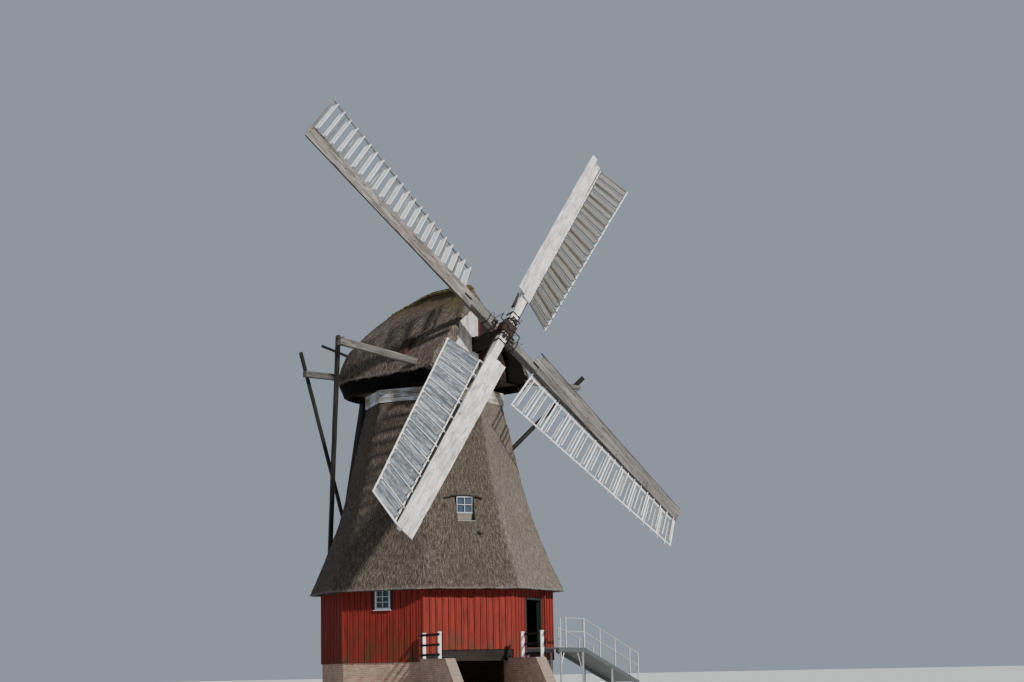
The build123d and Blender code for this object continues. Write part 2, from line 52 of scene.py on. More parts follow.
# ------------------------------------------------------------------ shader helpers
class Mat:
    def __init__(s, name):
        s.m = bpy.data.materials.new(name)
        s.m.use_nodes = True
        s.t = s.m.node_tree
        s.t.nodes.clear()
        s.out = s.t.nodes.new("ShaderNodeOutputMaterial")
        s.b = s.t.nodes.new("ShaderNodeBsdfPrincipled")
        s.t.links.new(s.b.outputs[0], s.out.inputs[0])

    def put(s, sock, v):
        if isinstance(v, bpy.types.NodeSocket):
            s.t.links.new(v, sock)
        elif v is not None:
            if sock.type == "RGBA" and len(v) == 3:
                v = (*v, 1.0)
            sock.default_value = v

    def node(s, kind, props=None, **ins):
        n = s.t.nodes.new(kind)
        for k, v in (props or {}).items():
            setattr(n, k, v)
        for k, v in ins.items():
            key = int(k[1:]) if k[0] == "i" and k[1:].isdigit() else k.replace("_", " ")
            s.put(n.inputs[key], v)
        return n

    def math(s, op, a, b=None, c=None):
        n = s.node("ShaderNodeMath", {"operation": op})
        s.put(n.inputs[0], a)
        if b is not None:
            s.put(n.inputs[1], b)
        if c is not None:
            s.put(n.inputs[2], c)
        return n.outputs[0]

    def mix(s, f, a, b, mode="MIX"):
        n = s.node("ShaderNodeMix", {"data_type": "RGBA", "blend_type": mode})
        s.put(n.inputs[0], f); s.put(n.inputs[6], a); s.put(n.inputs[7], b)
        return n.outputs[2]

    def ramp(s, f, stops):
        n = s.t.nodes.new("ShaderNodeValToRGB")
        e = n.color_ramp.elements
        while len(e) < len(stops):
            e.new(0.5)
        for x, (p, c) in zip(e, stops):
            x.position = p
            x.color = (*c, 1.0) if len(c) == 3 else c
        s.put(n.inputs[0], f)
        return n.outputs[0]

    def step(s, f, lo, hi):
        n = s.node("ShaderNodeMapRange", {"clamp": True})
        s.put(n.inputs[0], f)
        n.inputs[1].default_value, n.inputs[2].default_value = lo, hi
        return n.outputs[0]

    def scaled(s, v, sc):
        n = s.node("ShaderNodeVectorMath", {"operation": "MULTIPLY"})
        s.put(n.inputs[0], v)
        n.inputs[1].default_value = sc
        return n.outputs[0]

    def noise(s, v, scale=1.0, detail=4.0, rough=0.55, dist=0.0):
        return s.node("ShaderNodeTexNoise", None, Vector=v, Scale=scale, Detail=detail, Roughness=rough, Distortion=dist).outputs[0]

    def attr(s, name, vec=False):
        return s.node("ShaderNodeAttribute", {"attribute_name": name}).outputs["Vector" if vec else "Fac"]

    def pos(s):
        return s.node("ShaderNodeTexCoord").outputs["Object"]

    def sep(s, v):
        return s.node("ShaderNodeSeparateXYZ", None, i0=v).outputs

    def bump(s, h, strength=0.4, dist=0.01):
        n = s.node("ShaderNodeBump", None, Height=h)
        n.inputs["Strength"].default_value = strength
        n.inputs["Distance"].default_value = dist
        s.t.links.new(n.outputs[0], s.b.inputs["Normal"])
        return n

    def done(s, color=None, rough=0.8, metal=0.0, spec=0.3, alpha=None, extra=None):
        s.put(s.b.inputs["Base Color"], color)
        s.put(s.b.inputs["Roughness"], rough)
        s.put(s.b.inputs["Metallic"], metal)
        s.b.inputs["Specular IOR Level"].default_value = spec
        if alpha is not None:
            s.put(s.b.inputs["Alpha"], alpha)
        for k, v in (extra or {}).items():
            s.b.inputs[k].default_value = v
        return s.m


def wood(name, dark, mid, light, paint=None, paint_at=(0.4, 0.6), rough=0.85, grain=1.0, dirt=None, axis=None, knots=False, bump=0.5, edge=0.0):
    """Sawn weathered wood, grain along the first coordinate of loc; paint over it that has worn off in patches."""
    m = Mat(name)
    if axis is None:
        v = m.attr("loc", True)
    else:
        a = Vector(axis).normalized()
        b = a.cross(Vector((0, 0, 1)) if abs(a.z) < 0.9 else Vector((1, 0, 0))).normalized()
        c = a.cross(b)
        p = m.pos()
        comp = [m.node("ShaderNodeVectorMath", {"operation": "DOT_PRODUCT"}, i0=p, i1=tuple(d)).outputs["Value"] for d in (a, b, c)]
        cb = m.node("ShaderNodeCombineXYZ")
        for i in range(3):
            m.put(cb.inputs[i], comp[i])
        v = cb.outputs[0]
    fine = m.noise(m.scaled(v, (1.1, 60 * grain, 60 * grain)), 1.0, 5.0, 0.65, 0.3)
    coarse = m.noise(m.scaled(v, (0.9, 9, 9)), 1.0, 4.0, 0.6)
    patch = m.noise(m.scaled(v, (1.3, 3.5, 3.5)), 1.0, 5.0, 0.6)
    f = m.math("ADD", m.math("MULTIPLY", fine, 0.55), m.math("MULTIPLY", coarse, 0.45))
    col = m.ramp(f, [(0.33, dark), (0.5, mid), (0.66, light)])
    if axis is None:
        rnd = m.attr("rnd")
        col = m.mix(m.math("MULTIPLY", rnd, 0.35), col, dark)
    if knots:
        vor = m.node("ShaderNodeTexVoronoi", {"feature": "F1"}, Vector=m.scaled(v, (1.1, 5.0, 5.0)), Scale=1.0).outputs["Distance"]
        k = m.math("SUBTRACT", 1.0, m.step(vor, 0.05, 0.12))
        col = m.mix(m.math("MULTIPLY", k, 0.75), col, tuple(0.5 * x for x in dark))
    pr = None
    if paint:
        pf = m.math("ADD", m.math("MULTIPLY", patch, 0.55), m.math("MULTIPLY", fine, 0.45))
        pr = m.step(pf, *paint_at)
        pcol = m.mix(m.math("MULTIPLY", coarse, 0.5), paint, tuple(0.72 * x for x in paint))
        col = m.mix(pr, col, pcol)
    crack = m.noise(m.scaled(v, (0.7, 34 * grain, 34 * grain)), 1.0, 3.0, 0.5)
    cr = m.math("SUBTRACT", 1.0, m.step(crack, 0.30, 0.36))
    col = m.mix(m.math("MULTIPLY", cr, 0.8), col, tuple(0.35 * x for x in dark))
    # painted shade: the edge attribute darkens the board strips beside the cover battens
    if edge:
        col = m.mix(m.math("MULTIPLY", m.attr("edge"), edge), col, tuple(0.18 * x for x in dark))
    if dirt:
        z = m.sep(m.pos())[2]
        dn = m.noise(m.scaled(m.pos(), (2.5, 2.5, 1.4)), 1.0, 5.0)
        df = m.math("MULTIPLY", m.math("SUBTRACT", 1.0, m.step(z, dirt[0], dirt[1])), m.step(dn, 0.42, 0.62))
        col = m.mix(m.math("MULTIPLY", df, dirt[3]), col, dirt[2])
    h = m.math("SUBTRACT", m.math("ADD", m.math("MULTIPLY", fine, 0.6), m.math("MULTIPLY", coarse, 0.4)), m.math("MULTIPLY", cr, 0.8))
    if pr is not None:
        h = m.math("ADD", h, m.math("MULTIPLY", pr, 0.25))
    m.bump(h, bump, 0.012)
    r = m.math("ADD", rough - 0.1, m.math("MULTIPLY", fine, 0.2))
    return m.done(col, r, spec=0.25)


def thatch(name, tone=1.0):
    """Reed laid down the slope, its cut ends making a fine vertical stipple."""
    m = Mat(name)
    v = m.attr("loc", True)                      # along the surface, down the slope, depth
    reed = m.noise(m.scaled(v, (46, 5.0, 1)), 1.0, 6.0, 0.72, 0.2)
    fine = m.noise(m.scaled(v, (95, 17, 1)), 1.0, 4.0, 0.65)
    tuft = m.noise(m.scaled(v, (21, 2.6, 1)), 1.0, 5.0, 0.65)
    big = m.noise(m.scaled(v, (0.8, 0.55, 1)), 1.0, 5.0, 0.6)
    f = m.math("ADD", m.math("ADD", m.math("MULTIPLY", reed, 0.45), m.math("MULTIPLY", fine, 0.36)), m.math("MULTIPLY", tuft, 0.19))
    t = tone
    f = m.math("ADD", m.math("MULTIPLY", m.math("SUBTRACT", f, 0.5), 2.0), 0.5)
    col = m.ramp(f, [(0.30, (0.012 * t, 0.010 * t, 0.008 * t)), (0.43, (0.058 * t, 0.046 * t, 0.036 * t)),
                     (0.54, (0.125 * t, 0.104 * t, 0.084 * t)), (0.70, (0.34 * t, 0.305 * t, 0.262 * t))])
    col = m.mix(m.math("MULTIPLY", m.step(big, 0.35, 0.72), 0.7), col, m.mix(0.5, col, (0.062 * t, 0.046 * t, 0.032 * t)))
    tn = m.attr("tone")
    sc_ = m.node("ShaderNodeVectorMath", {"operation": "SCALE"}, i0=col)
    m.put(sc_.inputs["Scale"], m.math("ADD", 1.0, tn))
    col = m.mix(m.math("MULTIPLY", tn, 0.35), sc_.outputs[0], (0.24, 0.235, 0.225))
    cut = m.attr("cut")
    col = m.mix(m.math("MULTIPLY", cut, 0.55), col, (0.34, 0.32, 0.29))
    moss = m.math("MULTIPLY", m.attr("moss"), m.step(m.math("ADD", tuft, m.math("MULTIPLY", big, 0.4)), 0.55, 0.78))
    mc = m.ramp(fine, [(0.35, (0.050, 0.040, 0.014)), (0.65, (0.24, 0.18, 0.065))])
    col = m.mix(moss, col, mc)
    # painted shade: the dark attribute mixes the reed towards near-black where shade falls, under the eaves, inside the
    # cap and on the right of the cap front
    painted_shade_mask = m.attr("dark")
    col = m.mix(painted_shade_mask, col, (0.0030, 0.0026, 0.0022))
    m.bump(m.math("ADD", m.math("ADD", reed, m.math("MULTIPLY", fine, 0.5)), tuft), 1.0, 0.05)
    return m.done(col, 0.95, spec=0.1)


def brick(name):
    m = Mat(name)
    g = m.node("ShaderNodeNewGeometry")
    tng = m.node("ShaderNodeVectorMath", {"operation": "CROSS_PRODUCT"}, i0=(0, 0, 1), i1=g.outputs["True Normal"]).outputs[0]
    tn = m.node("ShaderNodeVectorMath", {"operation": "NORMALIZE"}, i0=tng).outputs[0]
    p = m.pos()
    u = m.node("ShaderNodeVectorMath", {"operation": "DOT_PRODUCT"}, i0=p, i1=tn).outputs["Value"]
    xyz = m.sep(p)
    cb = m.node("ShaderNodeCombineXYZ", None, X=u, Y=xyz[2])
    bt = m.node("ShaderNodeTexBrick", {"offset": 0.5}, Vector=cb.outputs[0], Color1=(0.36, 0.17, 0.12), Color2=(0.50, 0.33, 0.24),
                Mortar=(0.50, 0.47, 0.42), Scale=1.0)
    for k, v in (("Mortar Size", 0.009), ("Mortar Smooth", 0.3), ("Bias", 0.0), ("Brick Width", 0.23), ("Row Height", 0.077)):
        bt.inputs[k].default_value = v
    n1 = m.noise(m.scaled(p, (3, 3, 3)), 1.0, 6.0, 0.65)
    n2 = m.noise(m.scaled(p, (40, 40, 40)), 1.0, 4.0, 0.6)
    col = m.mix(m.step(n1, 0.4, 0.7), bt.outputs[0], m.mix(0.6, bt.outputs[0], (0.20, 0.19, 0.12)))
    col = m.mix(m.math("MULTIPLY", n2, 0.45), col, (0.16, 0.10, 0.08))
    low = m.math("MULTIPLY", m.math("SUBTRACT", 1.0, m.step(xyz[2], 0.0, 1.1)), m.step(n1, 0.38, 0.6))
    col = m.mix(m.math("MULTIPLY", low, 0.6), col, (0.10, 0.12, 0.06))
    m.bump(m.math("ADD", m.math("MULTIPLY", bt.outputs[1], -1.0), m.math("MULTIPLY", n2, 0.5)), 0.7, 0.012)
    return m.done(col, 0.9, spec=0.2)


def iron(name, rust=0.6, base=(0.030, 0.026, 0.024)):
    m = Mat(name)
    p = m.pos()
    n1 = m.noise(m.scaled(p, (9, 9, 9)), 1.0, 8.0, 0.7)
    n2 = m.noise(m.scaled(p, (60, 60, 60)), 1.0, 5.0, 0.6)
    rc = m.ramp(n2, [(0.35, (0.010, 0.007, 0.006)), (0.6, (0.040, 0.019, 0.013))])
    col = m.mix(m.step(n1, 0.62 - 0.4 * rust, 0.80 - 0.4 * rust), base, rc)
    m.bump(n2, 0.5, 0.006)
    return m.done(col, 0.8, metal=0.15, spec=0.3)


def galv(name, k=1.0):
    m = Mat(name)
    p = m.pos()
    vor = m.node("ShaderNodeTexVoronoi", {"feature": "F1"}, Vector=p, Scale=28.0).outputs["Color"]
    g = m.node("ShaderNodeRGBToBW", None, i0=vor).outputs[0]
    n = m.noise(m.scaled(p, (5, 5, 5)), 1.0, 6.0, 0.7)
    col = m.mix(g, (0.40 * k, 0.42 * k, 0.43 * k), (0.60 * k, 0.62 * k, 0.63 * k))
    col = m.mix(m.math("MULTIPLY", m.step(n, 0.55, 0.75), 0.5), col, (0.22, 0.21, 0.17))
    m.bump(n, 0.1, 0.003)
    return m.done(col, m.math("ADD", 0.42, m.math("MULTIPLY", n, 0.25)), metal=0.75, spec=0.5)


def film(name, c0, c1, alpha, rough=0.45, streaks=0.6, wrinkle=0.15):
    """Thin wrinkled sheet on the shutters, milky and half clear."""
    m = Mat(name)
    v = m.attr("loc", True)
    w = m.noise(m.scaled(v, (3.2, 11, 11)), 1.0, 5.0, 0.6, 1.2)
    w2 = m.noise(m.scaled(v, (16, 30, 30)), 1.0, 3.0, 0.6, 0.8)
    long_ = m.noise(m.scaled(v, (0.9, 38, 38)), 1.0, 3.0, 0.5, 0.25)
    col = m.mix(m.step(w, 0.36, 0.68), c0, c1)
    streak = m.step(m.math("ADD", m.math("MULTIPLY", w, 0.35), m.math("MULTIPLY", long_, 0.65)), 0.50, 0.60)
    col = m.mix(m.math("MULTIPLY", streak, streaks), col, (0.86, 0.88, 0.91))
    rnd = m.attr("rnd")
    col = m.mix(m.math("MULTIPLY", rnd, 0.3), col, tuple(0.6 * x for x in c0))
    m.bump(m.math("ADD", w, m.math("MULTIPLY", w2, 0.4)), wrinkle, 0.02)
    a = m.math("ADD", alpha - 0.10, m.math("MULTIPLY", m.step(w, 0.35, 0.7), 0.22))
    if alpha >= 1:
        return m.done(col, rough, spec=0.5)
    m.m.surface_render_method = "DITHERED"
    return m.done(col, rough, spec=0.5, alpha=a)


def glass(name):
    m = Mat(name)
    n = m.noise(m.scaled(m.pos(), (2.2, 2.2, 2.2)), 1.0, 2.0)
    m.bump(n, 0.15, 0.02)
    return m.done(m.mix(n, (0.015, 0.022, 0.035), (0.07, 0.10, 0.15)), 0.06, spec=0.8, alpha=0.92)


def stone(name, c=(0.35, 0.34, 0.32)):
    m = Mat(name)
    n = m.noise(m.scaled(m.pos(), (6, 6, 6)), 1.0, 8.0, 0.7)
    n2 = m.noise(m.scaled(m.pos(), (70, 70, 70)), 1.0, 3.0)
    col = m.mix(n, tuple(0.7 * x for x in c), c)
    col = m.mix(m.math("MULTIPLY", n2, 0.4), col, tuple(0.5 * x for x in c))
    m.bump(m.math("ADD", n, m.math("MULTIPLY", n2, 0.4)), 0.5, 0.01)
    return m.done(col, 0.92, spec=0.2)


# ------------------------------------------------------------------ mesh helpers
class Build:
    def __init__(s):
        s.V, s.F, s.L, s.R, s.M, s.X, s.n = [], [], [], [], [], {}, 0

    def add(s, V, F, L=None, r=None, m=0, **extra):
        V = np.asarray(V, float).reshape(-1, 3)
        r = rng.random() if r is None else r
        off = rng.random(3) * 50.0
        L = V if L is None else np.asarray(L, float).reshape(-1, 3)
        s.V.append(V)
        s.L.append(L + off)
        s.R.append(np.full(len(V), r) if np.isscalar(r) else np.asarray(r, float))
        s.F += [tuple(int(i) + s.n for i in f) for f in F]
        s.M += [m] * len(F)
        for k in set(s.X) | set(extra):
            if k not in s.X:
                s.X[k] = [np.zeros(s.n)]
            e = extra.get(k, 0.0)
            s.X[k].append(np.full(len(V), float(e)) if np.isscalar(e) else np.asarray(e, float).ravel())
        s.n += len(V)

    def make(s, name, body, mats, slot, replaces=(), smooth=False, M=None):
        V = np.concatenate(s.V)
        if M is not None:
            A = np.array(M)
            V = V @ A[:3, :3].T + A[:3, 3]
        me = bpy.data.meshes.new(name)
        me.from_pydata(V.tolist(), [], s.F)
        for m in mats:
            me.materials.append(m)
        me.polygons.foreach_set("material_index", s.M)
        if smooth:
            me.polygons.foreach_set("use_smooth", [True] * len(s.F))
        a = me.attributes.new("loc", "FLOAT_VECTOR", "POINT")
        a.data.foreach_set("vector", np.concatenate(s.L).astype(np.float32).ravel())
        a = me.attributes.new("rnd", "FLOAT", "POINT")
        a.data.foreach_set("value", np.concatenate(s.R).astype(np.float32))
        for k, v in s.X.items():
            a = me.attributes.new(k, "FLOAT", "POINT")
            a.data.foreach_set("value", np.concatenate(v).astype(np.float32))
        me.update()
        o = bpy.data.objects.new(name, me)
        bpy.context.collection.objects.link(o)
        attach(o, body)
        if replaces:
            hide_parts(*replaces)
        return o


def unit(v):
    v = np.asarray(v, float)
    return v / np.linalg.norm(v)


def tf(M, p):
    A = np.array(M)
    return np.asarray(p, float) @ A[:3, :3].T + A[:3, 3]


def chamfered(w, h, c):
    w, h = w / 2, h / 2
    c = min(c, w * 0.6, h * 0.6)
    return [(-w + c, -h), (w - c, -h), (w, -h + c), (w, h - c), (w - c, h), (-w + c, h), (-w, h - c), (-w, -h + c)]


def sweep(b, P, X, Y, secs, r=None, m=0, **extra):
    """Closed prism through the points P, with section corners secs[i] in the directions X, Y."""
    P, k, n = np.asarray(P, float), len(secs[0]), len(P)
    d = np.concatenate([[0], np.cumsum(np.linalg.norm(np.diff(P, axis=0), axis=1))])
    V, L = [], []
    for i in range(n):
        x = X[i] if np.ndim(X) == 2 else X
        y = Y[i] if np.ndim(Y) == 2 else Y
        for a, c in secs[i]:
            V.append(P[i] + a * x + c * y)
            L.append((d[i], a, c))
    F = []
    for i in range(n - 1):
        for j in range(k):
            q = (j + 1) % k
            F.append((i * k + j, i * k + q, (i + 1) * k + q, (i + 1) * k + j))
    F.append(tuple(reversed(range(k))))
    F.append(tuple((n - 1) * k + j for j in range(k)))
    b.add(V, F, L, r, m, **extra)


def beam(b, p0, p1, w, h, up=(0, 0, 1), w1=None, h1=None, bev=0.012, n=1, wob=0.0, r=None, m=0, M=None, **extra):
    p0, p1 = np.asarray(p0, float), np.asarray(p1, float)
    if M is not None:
        p0, p1, up = tf(M, p0), tf(M, p1), np.array(M)[:3, :3] @ np.asarray(up, float)
    d = unit(p1 - p0)
    x = unit(np.cross(d, np.asarray(up, float)))
    y = np.cross(d, x)
    P, S = [], []
    for i in range(n + 1):
        t = i / n
        o = (rng.random(2) - 0.5) * 2 * wob if 0 < i < n else (0, 0)
        P.append(p0 + (p1 - p0) * t + x * o[0] + y * o[1])
        S.append(chamfered(w + ((w1 or w) - w) * t, h + ((h1 or h) - h) * t, bev))
    sweep(b, P, x, y, S, r, m, **extra)


def rod(b, p0, p1, dia, k=8, r=None, m=0, M=None, dia1=None):
    p0, p1 = np.asarray(p0, float), np.asarray(p1, float)
    if M is not None:
        p0, p1 = tf(M, p0), tf(M, p1)
    d = unit(p1 - p0)
    x = unit(np.cross(d, (0.3, 0.5, 0.81)))
    y = np.cross(d, x)
    dia1 = dia if dia1 is None else dia1
    S = [[(q / 2 * cos(2 * pi * j / k), q / 2 * sin(2 * pi * j / k)) for j in range(k)] for q in (dia, dia1)]
    sweep(b, [p0, p1], x, y, S, r, m)


def grid_faces(ni, nj, wrap=False, flip=False, off=0):
    F = []
    for i in range(ni - 1):
        for j in range(nj if wrap else nj - 1):
            q = (j + 1) % nj
            f = (off + i * nj + j, off + i * nj + q, off + (i + 1) * nj + q, off + (i + 1) * nj + j)
            F.append(tuple(reversed(f)) if flip else f)
    return F


def smooth_noise(shape, cells, seed):
    """Smooth noise on a grid, -1 to 1, with that many cells each way."""
    g = np.random.default_rng(seed).random((cells[0] + 3, cells[1] + 3)) * 2 - 1
    y = np.linspace(0, cells[0], shape[0]); x = np.linspace(0, cells[1], shape[1])
    yi, xi = y.astype(int), x.astype(int)
    fy, fx = y - yi, x - xi
    fy, fx = fy * fy * (3 - 2 * fy), fx * fx * (3 - 2 * fx)
    a = g[yi][:, xi] * (1 - fx) + g[yi][:, xi + 1] * fx
    c = g[yi + 1][:, xi] * (1 - fx) + g[yi + 1][:, xi + 1] * fx
    return a * (1 - fy)[:, None] + c * fy[:, None]


# ------------------------------------------------------------------ frames and main sizes, as in the CAD, in metres
WALL_R = 4.508
APO = WALL_R * cos(pi / 8)
def face(k):
    return Matrix.Rotation(radians(45 * k), 4, "Z")
YAW, TILT, HUB_S, HUB_Z = radians(25.65), radians(12.44), 3.994, 14.307
CAP = Matrix.Rotation(YAW, 4, "Z")
ROT0 = Matrix(((1, 0, 0, 0), (0, sin(TILT), -cos(TILT), -HUB_S), (0, cos(TILT), sin(TILT), HUB_Z), (0, 0, 0, 1)))
ROT = CAP @ ROT0
SAIL_ANGLE, SEP = 49.4, 0.381
SAILS = {"a": (SAIL_ANGLE + 90, -1), "b": (SAIL_ANGLE, 1), "c": (SAIL_ANGLE - 90, -1), "d": (SAIL_ANGLE - 180, 1)}
def sail(k):
    ang, side = SAILS[k]
    return ROT @ Matrix.Translation((0, 0, side * SEP / 2)) @ Matrix.Rotation(radians(ang), 4, "Z")

# ------------------------------------------------------------------ materials
M_THATCH = thatch("thatch_weathered")
M_RED = wood("red_boards", (0.045, 0.008, 0.006), (0.13, 0.017, 0.012), (0.28, 0.062, 0.047), paint=(0.235, 0.021, 0.014), paint_at=(0.36, 0.56),
             dirt=(1.9, 3.4, (0.050, 0.040, 0.016), 0.8), rough=0.75, edge=0.85)
M_DARKWOOD = wood("old_dark_timber", (0.012, 0.010, 0.008), (0.045, 0.035, 0.028), (0.10, 0.08, 0.06))
M_GREY = wood("grey_timber", (0.025, 0.023, 0.021), (0.115, 0.108, 0.100), (0.28, 0.27, 0.25), knots=True)
# near-black timber of the tail pole, braces, lever, window brow and reveal boards
M_BRACE = wood("near_black_timber", (0.008, 0.007, 0.006), (0.030, 0.026, 0.022), (0.085, 0.078, 0.068), knots=True)
M_WHITE = wood("sail_white", (0.12, 0.115, 0.105), (0.42, 0.41, 0.39), (0.66, 0.65, 0.62), paint=(0.86, 0.85, 0.82), paint_at=(0.42, 0.60), knots=True)
M_TAN = wood("sail_tan", (0.025, 0.020, 0.017), (0.15, 0.13, 0.115), (0.37, 0.345, 0.31), paint=(0.44, 0.415, 0.38), paint_at=(0.50, 0.66), knots=True)
M_SAILGREY = wood("sail_grey", (0.030, 0.027, 0.024), (0.145, 0.136, 0.125), (0.33, 0.31, 0.29), knots=True)
M_BARS = wood("sail_bars", (0.35, 0.34, 0.32), (0.66, 0.65, 0.62), (0.84, 0.83, 0.80), paint=(0.90, 0.89, 0.87), paint_at=(0.34, 0.5))
M_LATH_SHADED = wood("weathered_laths_painted_shade", (0.03, 0.025, 0.020), (0.13, 0.11, 0.09), (0.30, 0.27, 0.23))
M_LATHB = wood("blue_grey_laths", (0.10, 0.11, 0.12), (0.22, 0.24, 0.26), (0.38, 0.41, 0.44))
M_CURB2 = wood("curb_boards_bare", (0.05, 0.040, 0.028), (0.22, 0.18, 0.12), (0.44, 0.38, 0.28), paint=(0.55, 0.51, 0.43), paint_at=(0.40, 0.56))
M_SASH = wood("sash_paint", (0.20, 0.21, 0.22), (0.40, 0.42, 0.45), (0.58, 0.61, 0.66), paint=(0.42, 0.46, 0.52), paint_at=(0.34, 0.46))
M_CURB = wood("curb_boards_paint", (0.05, 0.045, 0.04), (0.20, 0.17, 0.13), (0.42, 0.36, 0.27), paint=(0.46, 0.50, 0.55), paint_at=(0.44, 0.56))
M_GABLE_W = wood("gable_white", (0.20, 0.18, 0.16), (0.38, 0.35, 0.33), (0.55, 0.52, 0.50), paint=(0.74, 0.71, 0.68), paint_at=(0.44, 0.60))
M_HATCH = wood("hatch_boards", (0.012, 0.007, 0.006), (0.045, 0.020, 0.015), (0.10, 0.055, 0.042))
M_ROOTW = wood("root_batten", (0.02, 0.011, 0.007), (0.075, 0.040, 0.022), (0.16, 0.10, 0.06))
M_GABLE_SHADED = wood("gable_dark_and_painted_shade", (0.005, 0.004, 0.004), (0.015, 0.011, 0.010), (0.038, 0.030, 0.026))
M_GABLE_R = wood("gable_red", (0.015, 0.008, 0.007), (0.06, 0.016, 0.013), (0.13, 0.03, 0.022), paint=(0.060, 0.008, 0.007), paint_at=(0.40, 0.56))
M_GREEN = wood("green_paint", (0.010, 0.014, 0.010), (0.016, 0.035, 0.024), (0.03, 0.06, 0.04), paint=(0.012, 0.026, 0.019), paint_at=(0.36, 0.50))
M_PWHITE = wood("white_paint", (0.30, 0.29, 0.27), (0.55, 0.54, 0.52), (0.72, 0.71, 0.69), paint=(0.84, 0.84, 0.82), paint_at=(0.30, 0.42))
M_SILL = wood("sill_boards", (0.09, 0.078, 0.064), (0.21, 0.19, 0.16), (0.36, 0.33, 0.28))
M_PBLACK = wood("near_black_paint", (0.010, 0.010, 0.011), (0.016, 0.016, 0.018), (0.035, 0.034, 0.033), paint=(0.014, 0.014, 0.016), paint_at=(0.3, 0.42))
M_BRICK = brick("weathered_brick")
M_STONE = stone("rough_floor")
M_IRON = iron("rusty_iron", 0.8)
M_IRON2 = iron("dark_iron", 0.25)
M_GALV = galv("galvanised_steel")
M_GLASS = glass("window_pane")
M_FILM = {"a": film("film_white", (0.80, 0.80, 0.79), (0.93, 0.93, 0.92), 1.0, streaks=0.3), "b": film("film_beige", (0.70, 0.68, 0.62), (0.84, 0.82, 0.76), 1.0, streaks=0.15, wrinkle=0.06),
          "c": film("film_pale", (0.70, 0.70, 0.69), (0.88, 0.88, 0.87), 1.0, streaks=0.3), "d": film("film_blue_grey", (0.15, 0.178, 0.205), (0.27, 0.305, 0.34), 1.0, streaks=0.85, wrinkle=0.8)}

# ------------------------------------------------------------------ tower thatch
PROFILE = [(4.684, 4.440), (4.310, 5.330), (3.950, 6.230), (3.570, 7.340), (3.262, 8.500), (3.032, 9.630), (2.830, 10.600), (2.550, 11.750)]
def apothem(z):
    zs = [p[1] for p in PROFILE]; rs = [p[0] for p in PROFILE]
    return np.interp(z, zs, rs)

N_COL, N_ROW = 46, 158
zrows = np.linspace(4.440, 11.750, N_ROW)
TW = (-0.20, 0.48, 6.98, 7.96)
for zz in (TW[2], TW[2] + 0.006, TW[3] - 0.006, TW[3]):
    zrows[np.argmin(np.abs(zrows - zz))] = zz
zrows = np.sort(zrows)
tt = np.linspace(-1, 1, N_COL + 1)[:-1] + 1.0 / N_COL
a_row = apothem(zrows)
ks = np.ones(9) / 9.0
a_row = np.concatenate([a_row[:4], np.convolve(a_row, ks, "same")[4:-4], a_row[-4:]])
U = np.zeros((N_ROW, 8 * N_COL)); A = np.zeros_like(U)
for k in range(8):
    for i in range(N_ROW):
        hs = a_row[i] * tan(pi / 8)
        U[i, k * N_COL:(k + 1) * N_COL] = tt * hs
        A[i, k * N_COL:(k + 1) * N_COL] = a_row[i]
hs_all = A * tan(pi / 8)
edge = (hs_all - np.abs(U))                       # distance to the corner
ns = (N_ROW, 8 * N_COL)
corner_lump = smooth_noise(ns, (30, 8), 5)
soft = np.exp(-(edge / 0.16) ** 2)
disp = -0.052 * soft + 0.016 * smooth_noise(ns, (14, 40), 1) + 0.011 * smooth_noise(ns, (40, 180), 2) + 0.010 * smooth_noise(ns, (75, 360), 3) - 0.010
disp += 0.006 * (np.random.default_rng(4).random(ns) - 0.5)
Z = np.repeat(zrows[:, None], 8 * N_COL, axis=1)
hole = []
for k in (0, 4):
    c = slice(k * N_COL, (k + 1) * N_COL)
    i0, i1 = np.searchsorted(zrows, TW[2]), np.searchsorted(zrows, TW[3])
    im = (i0 + i1) // 2
    row = U[im, c]
    jl, jr = int(np.argmin(np.abs(row - TW[0]))), int(np.argmin(np.abs(row - TW[1])))
    for i in range(i0 - 8, i1 + 9):
        w = 1.0 if i0 - 1 <= i <= i1 + 1 else max(0.0, 1 - (min(abs(i - i0 + 1), abs(i - i1 - 1)) / 7.0))
        r_ = U[i, c].copy(); h_ = a_row[i] * tan(pi / 8)
        warp = np.interp(r_, [-h_, r_[jl], r_[jl + 1], r_[jr - 1], r_[jr], h_], [-h_, TW[0], TW[0] + 0.006, TW[1] - 0.006, TW[1], h_])
        U[i, c] = r_ + w * (warp - r_)
        A[i, c] = a_row[i]
    for i in range(i0, i1 + 1):
        disp[i, k * N_COL + jl:k * N_COL + jr + 1] *= 0.3
        if i0 < i < i1:
            A[i, k * N_COL + jl + 1:k * N_COL + jr] = 3.36
            disp[i, k * N_COL + jl + 1:k * N_COL + jr] = 0
    for i in range(i1 + 1, i1 + 9):                # brow over the window
        f_ = 1 - (i - i1 - 1) / 8.0
        uu = U[i, c]
        disp[i, c] += 0.075 * f_ * np.exp(-((uu - 0.14) / 0.42) ** 4)
    hole.append((i0 + 1, i1 - 1, k * N_COL + jl + 1, k * N_COL + jr - 1))
rag = 0.018 * smooth_noise((1, 8 * N_COL), (1, 300), 6)[0] + 0.02 * smooth_noise((1, 8 * N_COL), (1, 60), 7)[0]
Z[0] += rag; Z[1] += rag * 0.6
R = A + disp
ang = np.repeat(np.arange(8) * pi / 4, N_COL)[None, :]
XX = np.sin(ang) * R + np.cos(ang) * U
YY = -np.cos(ang) * R + np.sin(ang) * U
shrink = (R / A)
V = np.stack([XX, YY, Z], -1)
arc = np.cumsum(np.concatenate([[0], np.linalg.norm(np.diff(V[60], axis=0), axis=1)]))
Lc = np.stack([np.repeat(arc[None, :], N_ROW, 0), Z * 1.05, 0 * Z], -1)
b = Build()
F = []
